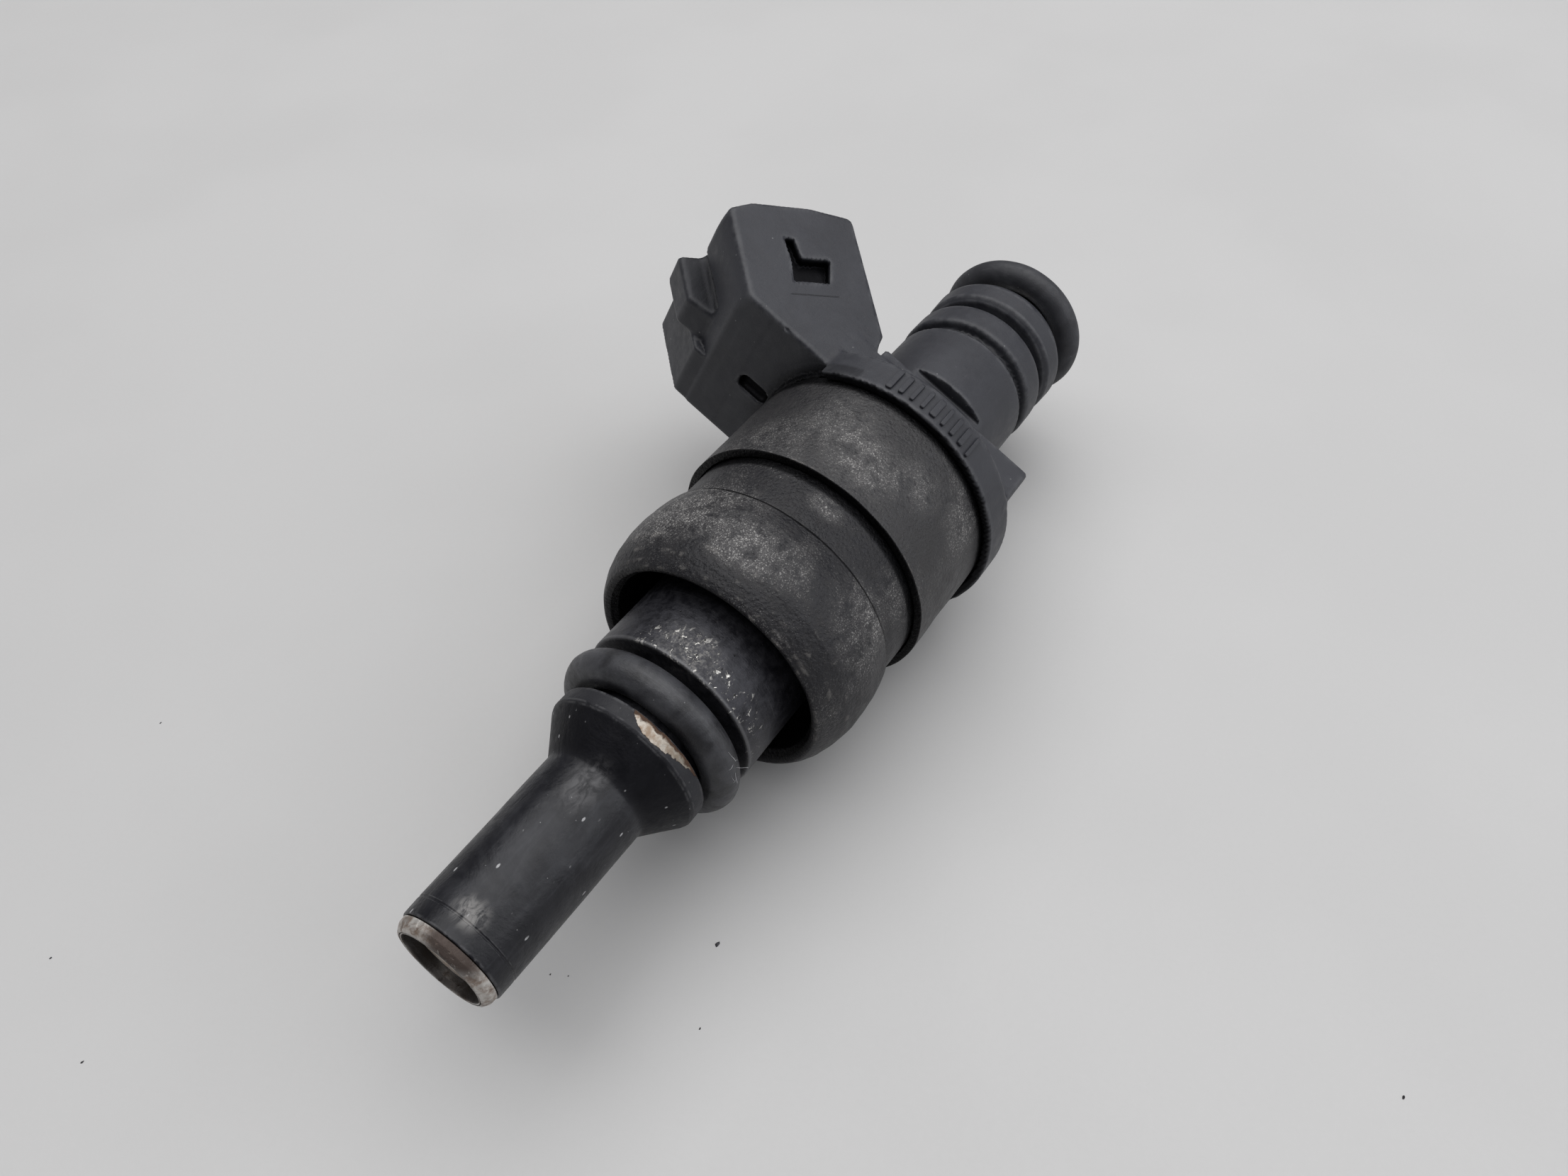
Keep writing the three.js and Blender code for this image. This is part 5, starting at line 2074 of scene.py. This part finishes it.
@dataclass
class Internals:
    """Pieces inside the case, wound, turned or dressed as they are."""

    finishes: Finishes

    def dress(self, node: str, material: Material) -> None:
        """Gives a CAD node's own object a better finish."""
        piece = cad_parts[node]
        piece.data.materials.clear()
        piece.data.materials.append(material)
        for slot in piece.material_slots:
            slot.material = material
        log.info("%-20s dressed", node)

    def build_windings(self) -> None:
        """Winds the return spring and the coil's outer layer over its core."""
        steel, copper = self.finishes.steel, self.finishes.copper
        HelixWire("closing_spring", 1.75, 14.55, 1.45, 0.27, 8.0
                  ).build(steel, Slot.BRIGHT_STEEL, "return_spring")
        Turned("coil_core", ((4.6, 6.4, 0.05), (4.6, 8.86, 0.1),
                             (10.4, 8.86, 0.1), (10.4, 6.4, 0.05)), sides=96,
               ).build(copper, Slot.COPPER, "coil_winding")
        HelixWire("coil_wire", 4.78, 5.44, 8.92, 0.165, 16.0, 56, 6).build(copper, Slot.COPPER)

    def build_plunger(self) -> None:
        """Builds the needle and dresses the armature and the ball."""
        steel = self.finishes.steel
        Turned("needle_rod", (
            (-30.13, 0.0), (-30.13, 0.80, 0.04), (-29.95, 0.90, 0.1), (-2.60, 0.90, 0.06),
            (-2.60, 0.0)), sides=48,
        ).build(steel, Slot.BRIGHT_STEEL, "needle", body=Body.PLUNGER)
        self.dress("armature", steel)
        self.dress("valve_ball", steel)

    def build(self) -> None:
        """Builds and dresses everything inside."""
        self.build_windings()
        self.build_plunger()
        for node in ("valve_seat", "needle_guide", "spacer_ring", "yoke_plate",
                     "adjusting_sleeve"):
            self.dress(node, self.finishes.steel)
        for node in ("coil_bobbin", "filter_frame"):
            self.dress(node, self.finishes.nylon)


@dataclass
class Studio:
    """Pale board with a few crumbs, two soft lights and the camera.

    Attributes:
        board: Side of the board, in metres.
        eye: Camera's place, in metres.
        right: Camera's right-hand direction.
        up: Camera's upward direction.
        lens: Focal length on a 36 mm wide sensor, in mm.
        crumbs: Place and size of each crumb on the board, in metres.
    """

    finishes: Finishes
    board: float = 2.4
    eye: Point3 = (-0.05047, -0.03898, 0.07823)
    right: Point3 = (0.5562, -0.8311, 0.0)
    up: Point3 = (0.6272, 0.4196, 0.6560)
    lens: float = 27.03
    crumbs: Tuple[Point3, ...] = CRUMBS

    def lay_board(self) -> None:
        """Lays the board under the injector."""
        half, cells = self.board / 2, 12
        axis = np.linspace(-half, half, cells + 1)
        points = [(x, y, 0.0) for y in axis for x in axis]
        n = cells + 1
        faces = [(j * n + i, j * n + i + 1, (j + 1) * n + i + 1, (j + 1) * n + i)
                 for j in range(cells) for i in range(cells)]
        mesh = raw_mesh("board", points, faces)
        mesh.materials.append(self.finishes.board)
        linked("board", mesh)

    def strew_crumbs(self) -> None:
        """Strews a few tiny dark crumbs on the board."""
        rng = np.random.default_rng(4)
        points: List[Point3] = []
        faces: List[Tuple[int, ...]] = []
        for x, y, size in self.crumbs:
            first, sides = len(points), 7
            points.append((x, y, size * 0.5))
            for k in range(sides):
                a = 2 * math.pi * k / sides
                r = size * rng.uniform(0.55, 1.0)
                points.append((x + r * math.cos(a), y + 0.6 * r * math.sin(a), 0.00002))
                faces.append((first, first + 1 + k, first + 1 + (k + 1) % sides))
            faces.append(tuple(first + sides - k for k in range(sides)))
        mesh = raw_mesh("crumbs", points, faces)
        mesh.materials.append(self.finishes.rubber)
        linked("crumbs", mesh)

    def hang_light(self, name: str, place: Point3, aim: Point3, size: float, power: float,
                   colour: Colour) -> None:
        """Hangs one square soft light.

        Args:
            name: Name of the light.
            place: Where it hangs, in metres.
            aim: Point that it faces.
            size: Its side, in metres.
            power: Its power, in watts.
            colour: Its colour.
        """
        lamp = bpy.data.lights.new(name, "AREA")
        lamp.shape, lamp.size, lamp.energy, lamp.color = "SQUARE", size, power, colour
        holder = linked(name, lamp)
        holder.location = place
        holder.visible_camera = False
        way = Vector(aim) - Vector(place)
        holder.rotation_euler = way.to_track_quat("-Z", "Y").to_euler()

    def set_sky(self, colour: Colour, strength: float) -> None:
        """Sets the even light of the room."""
        world = bpy.data.worlds.new("room")
        world.use_nodes = True
        back = world.node_tree.nodes["Background"]
        back.inputs["Color"].default_value = (*colour, 1)
        back.inputs["Strength"].default_value = strength
        bpy.context.scene.world = world

    def set_camera(self) -> None:
        """Sets the camera level, looking down along the injector from its nozzle."""
        right, up = Vector(self.right).normalized(), Vector(self.up).normalized()
        back = right.cross(up).normalized()
        up = back.cross(right).normalized()
        turn = Matrix((right, up, back)).transposed()
        data = bpy.data.cameras.new("camera")
        data.lens, data.sensor_width, data.sensor_fit = self.lens, 36.0, "HORIZONTAL"
        data.clip_start, data.clip_end = 0.005, 20.0
        camera = linked("camera", data)
        camera.matrix_world = Matrix.Translation(Vector(self.eye)) @ turn.to_4x4()
        bpy.context.scene.camera = camera

    def build(self) -> None:
        """Sets up the whole studio."""
        self.lay_board()
        self.strew_crumbs()
        self.set_sky((0.965, 0.96, 1.0), 0.155)
        self.hang_light("overhead", (0.15, 0.10, 0.62), (0.15, 0.10, 0.0), 0.95, 6.9,
                        (1.0, 0.998, 0.995))
        self.hang_light("fill", (0.25, -0.55, 0.35), (0.0, 0.0, 0.01), 0.6, 2.2,
                        (0.96, 0.975, 1.0))
        self.set_camera()
        view = bpy.context.scene.view_settings
        view.view_transform, view.look = "Standard", "None"


def main() -> None:
    """Builds every sub-assembly in order and reports the pieces."""
    finishes = Finishes.lay_out()
    for part in (Nozzle(finishes), Seals(finishes), MagnetCase(finishes),
                 ConnectorMoulding(finishes), Terminals(finishes), InletEnd(finishes),
                 Internals(finishes), Studio(finishes)):
        log.info("building %s", type(part).__name__)
        part.build()


if __name__ == "__main__":
    main()
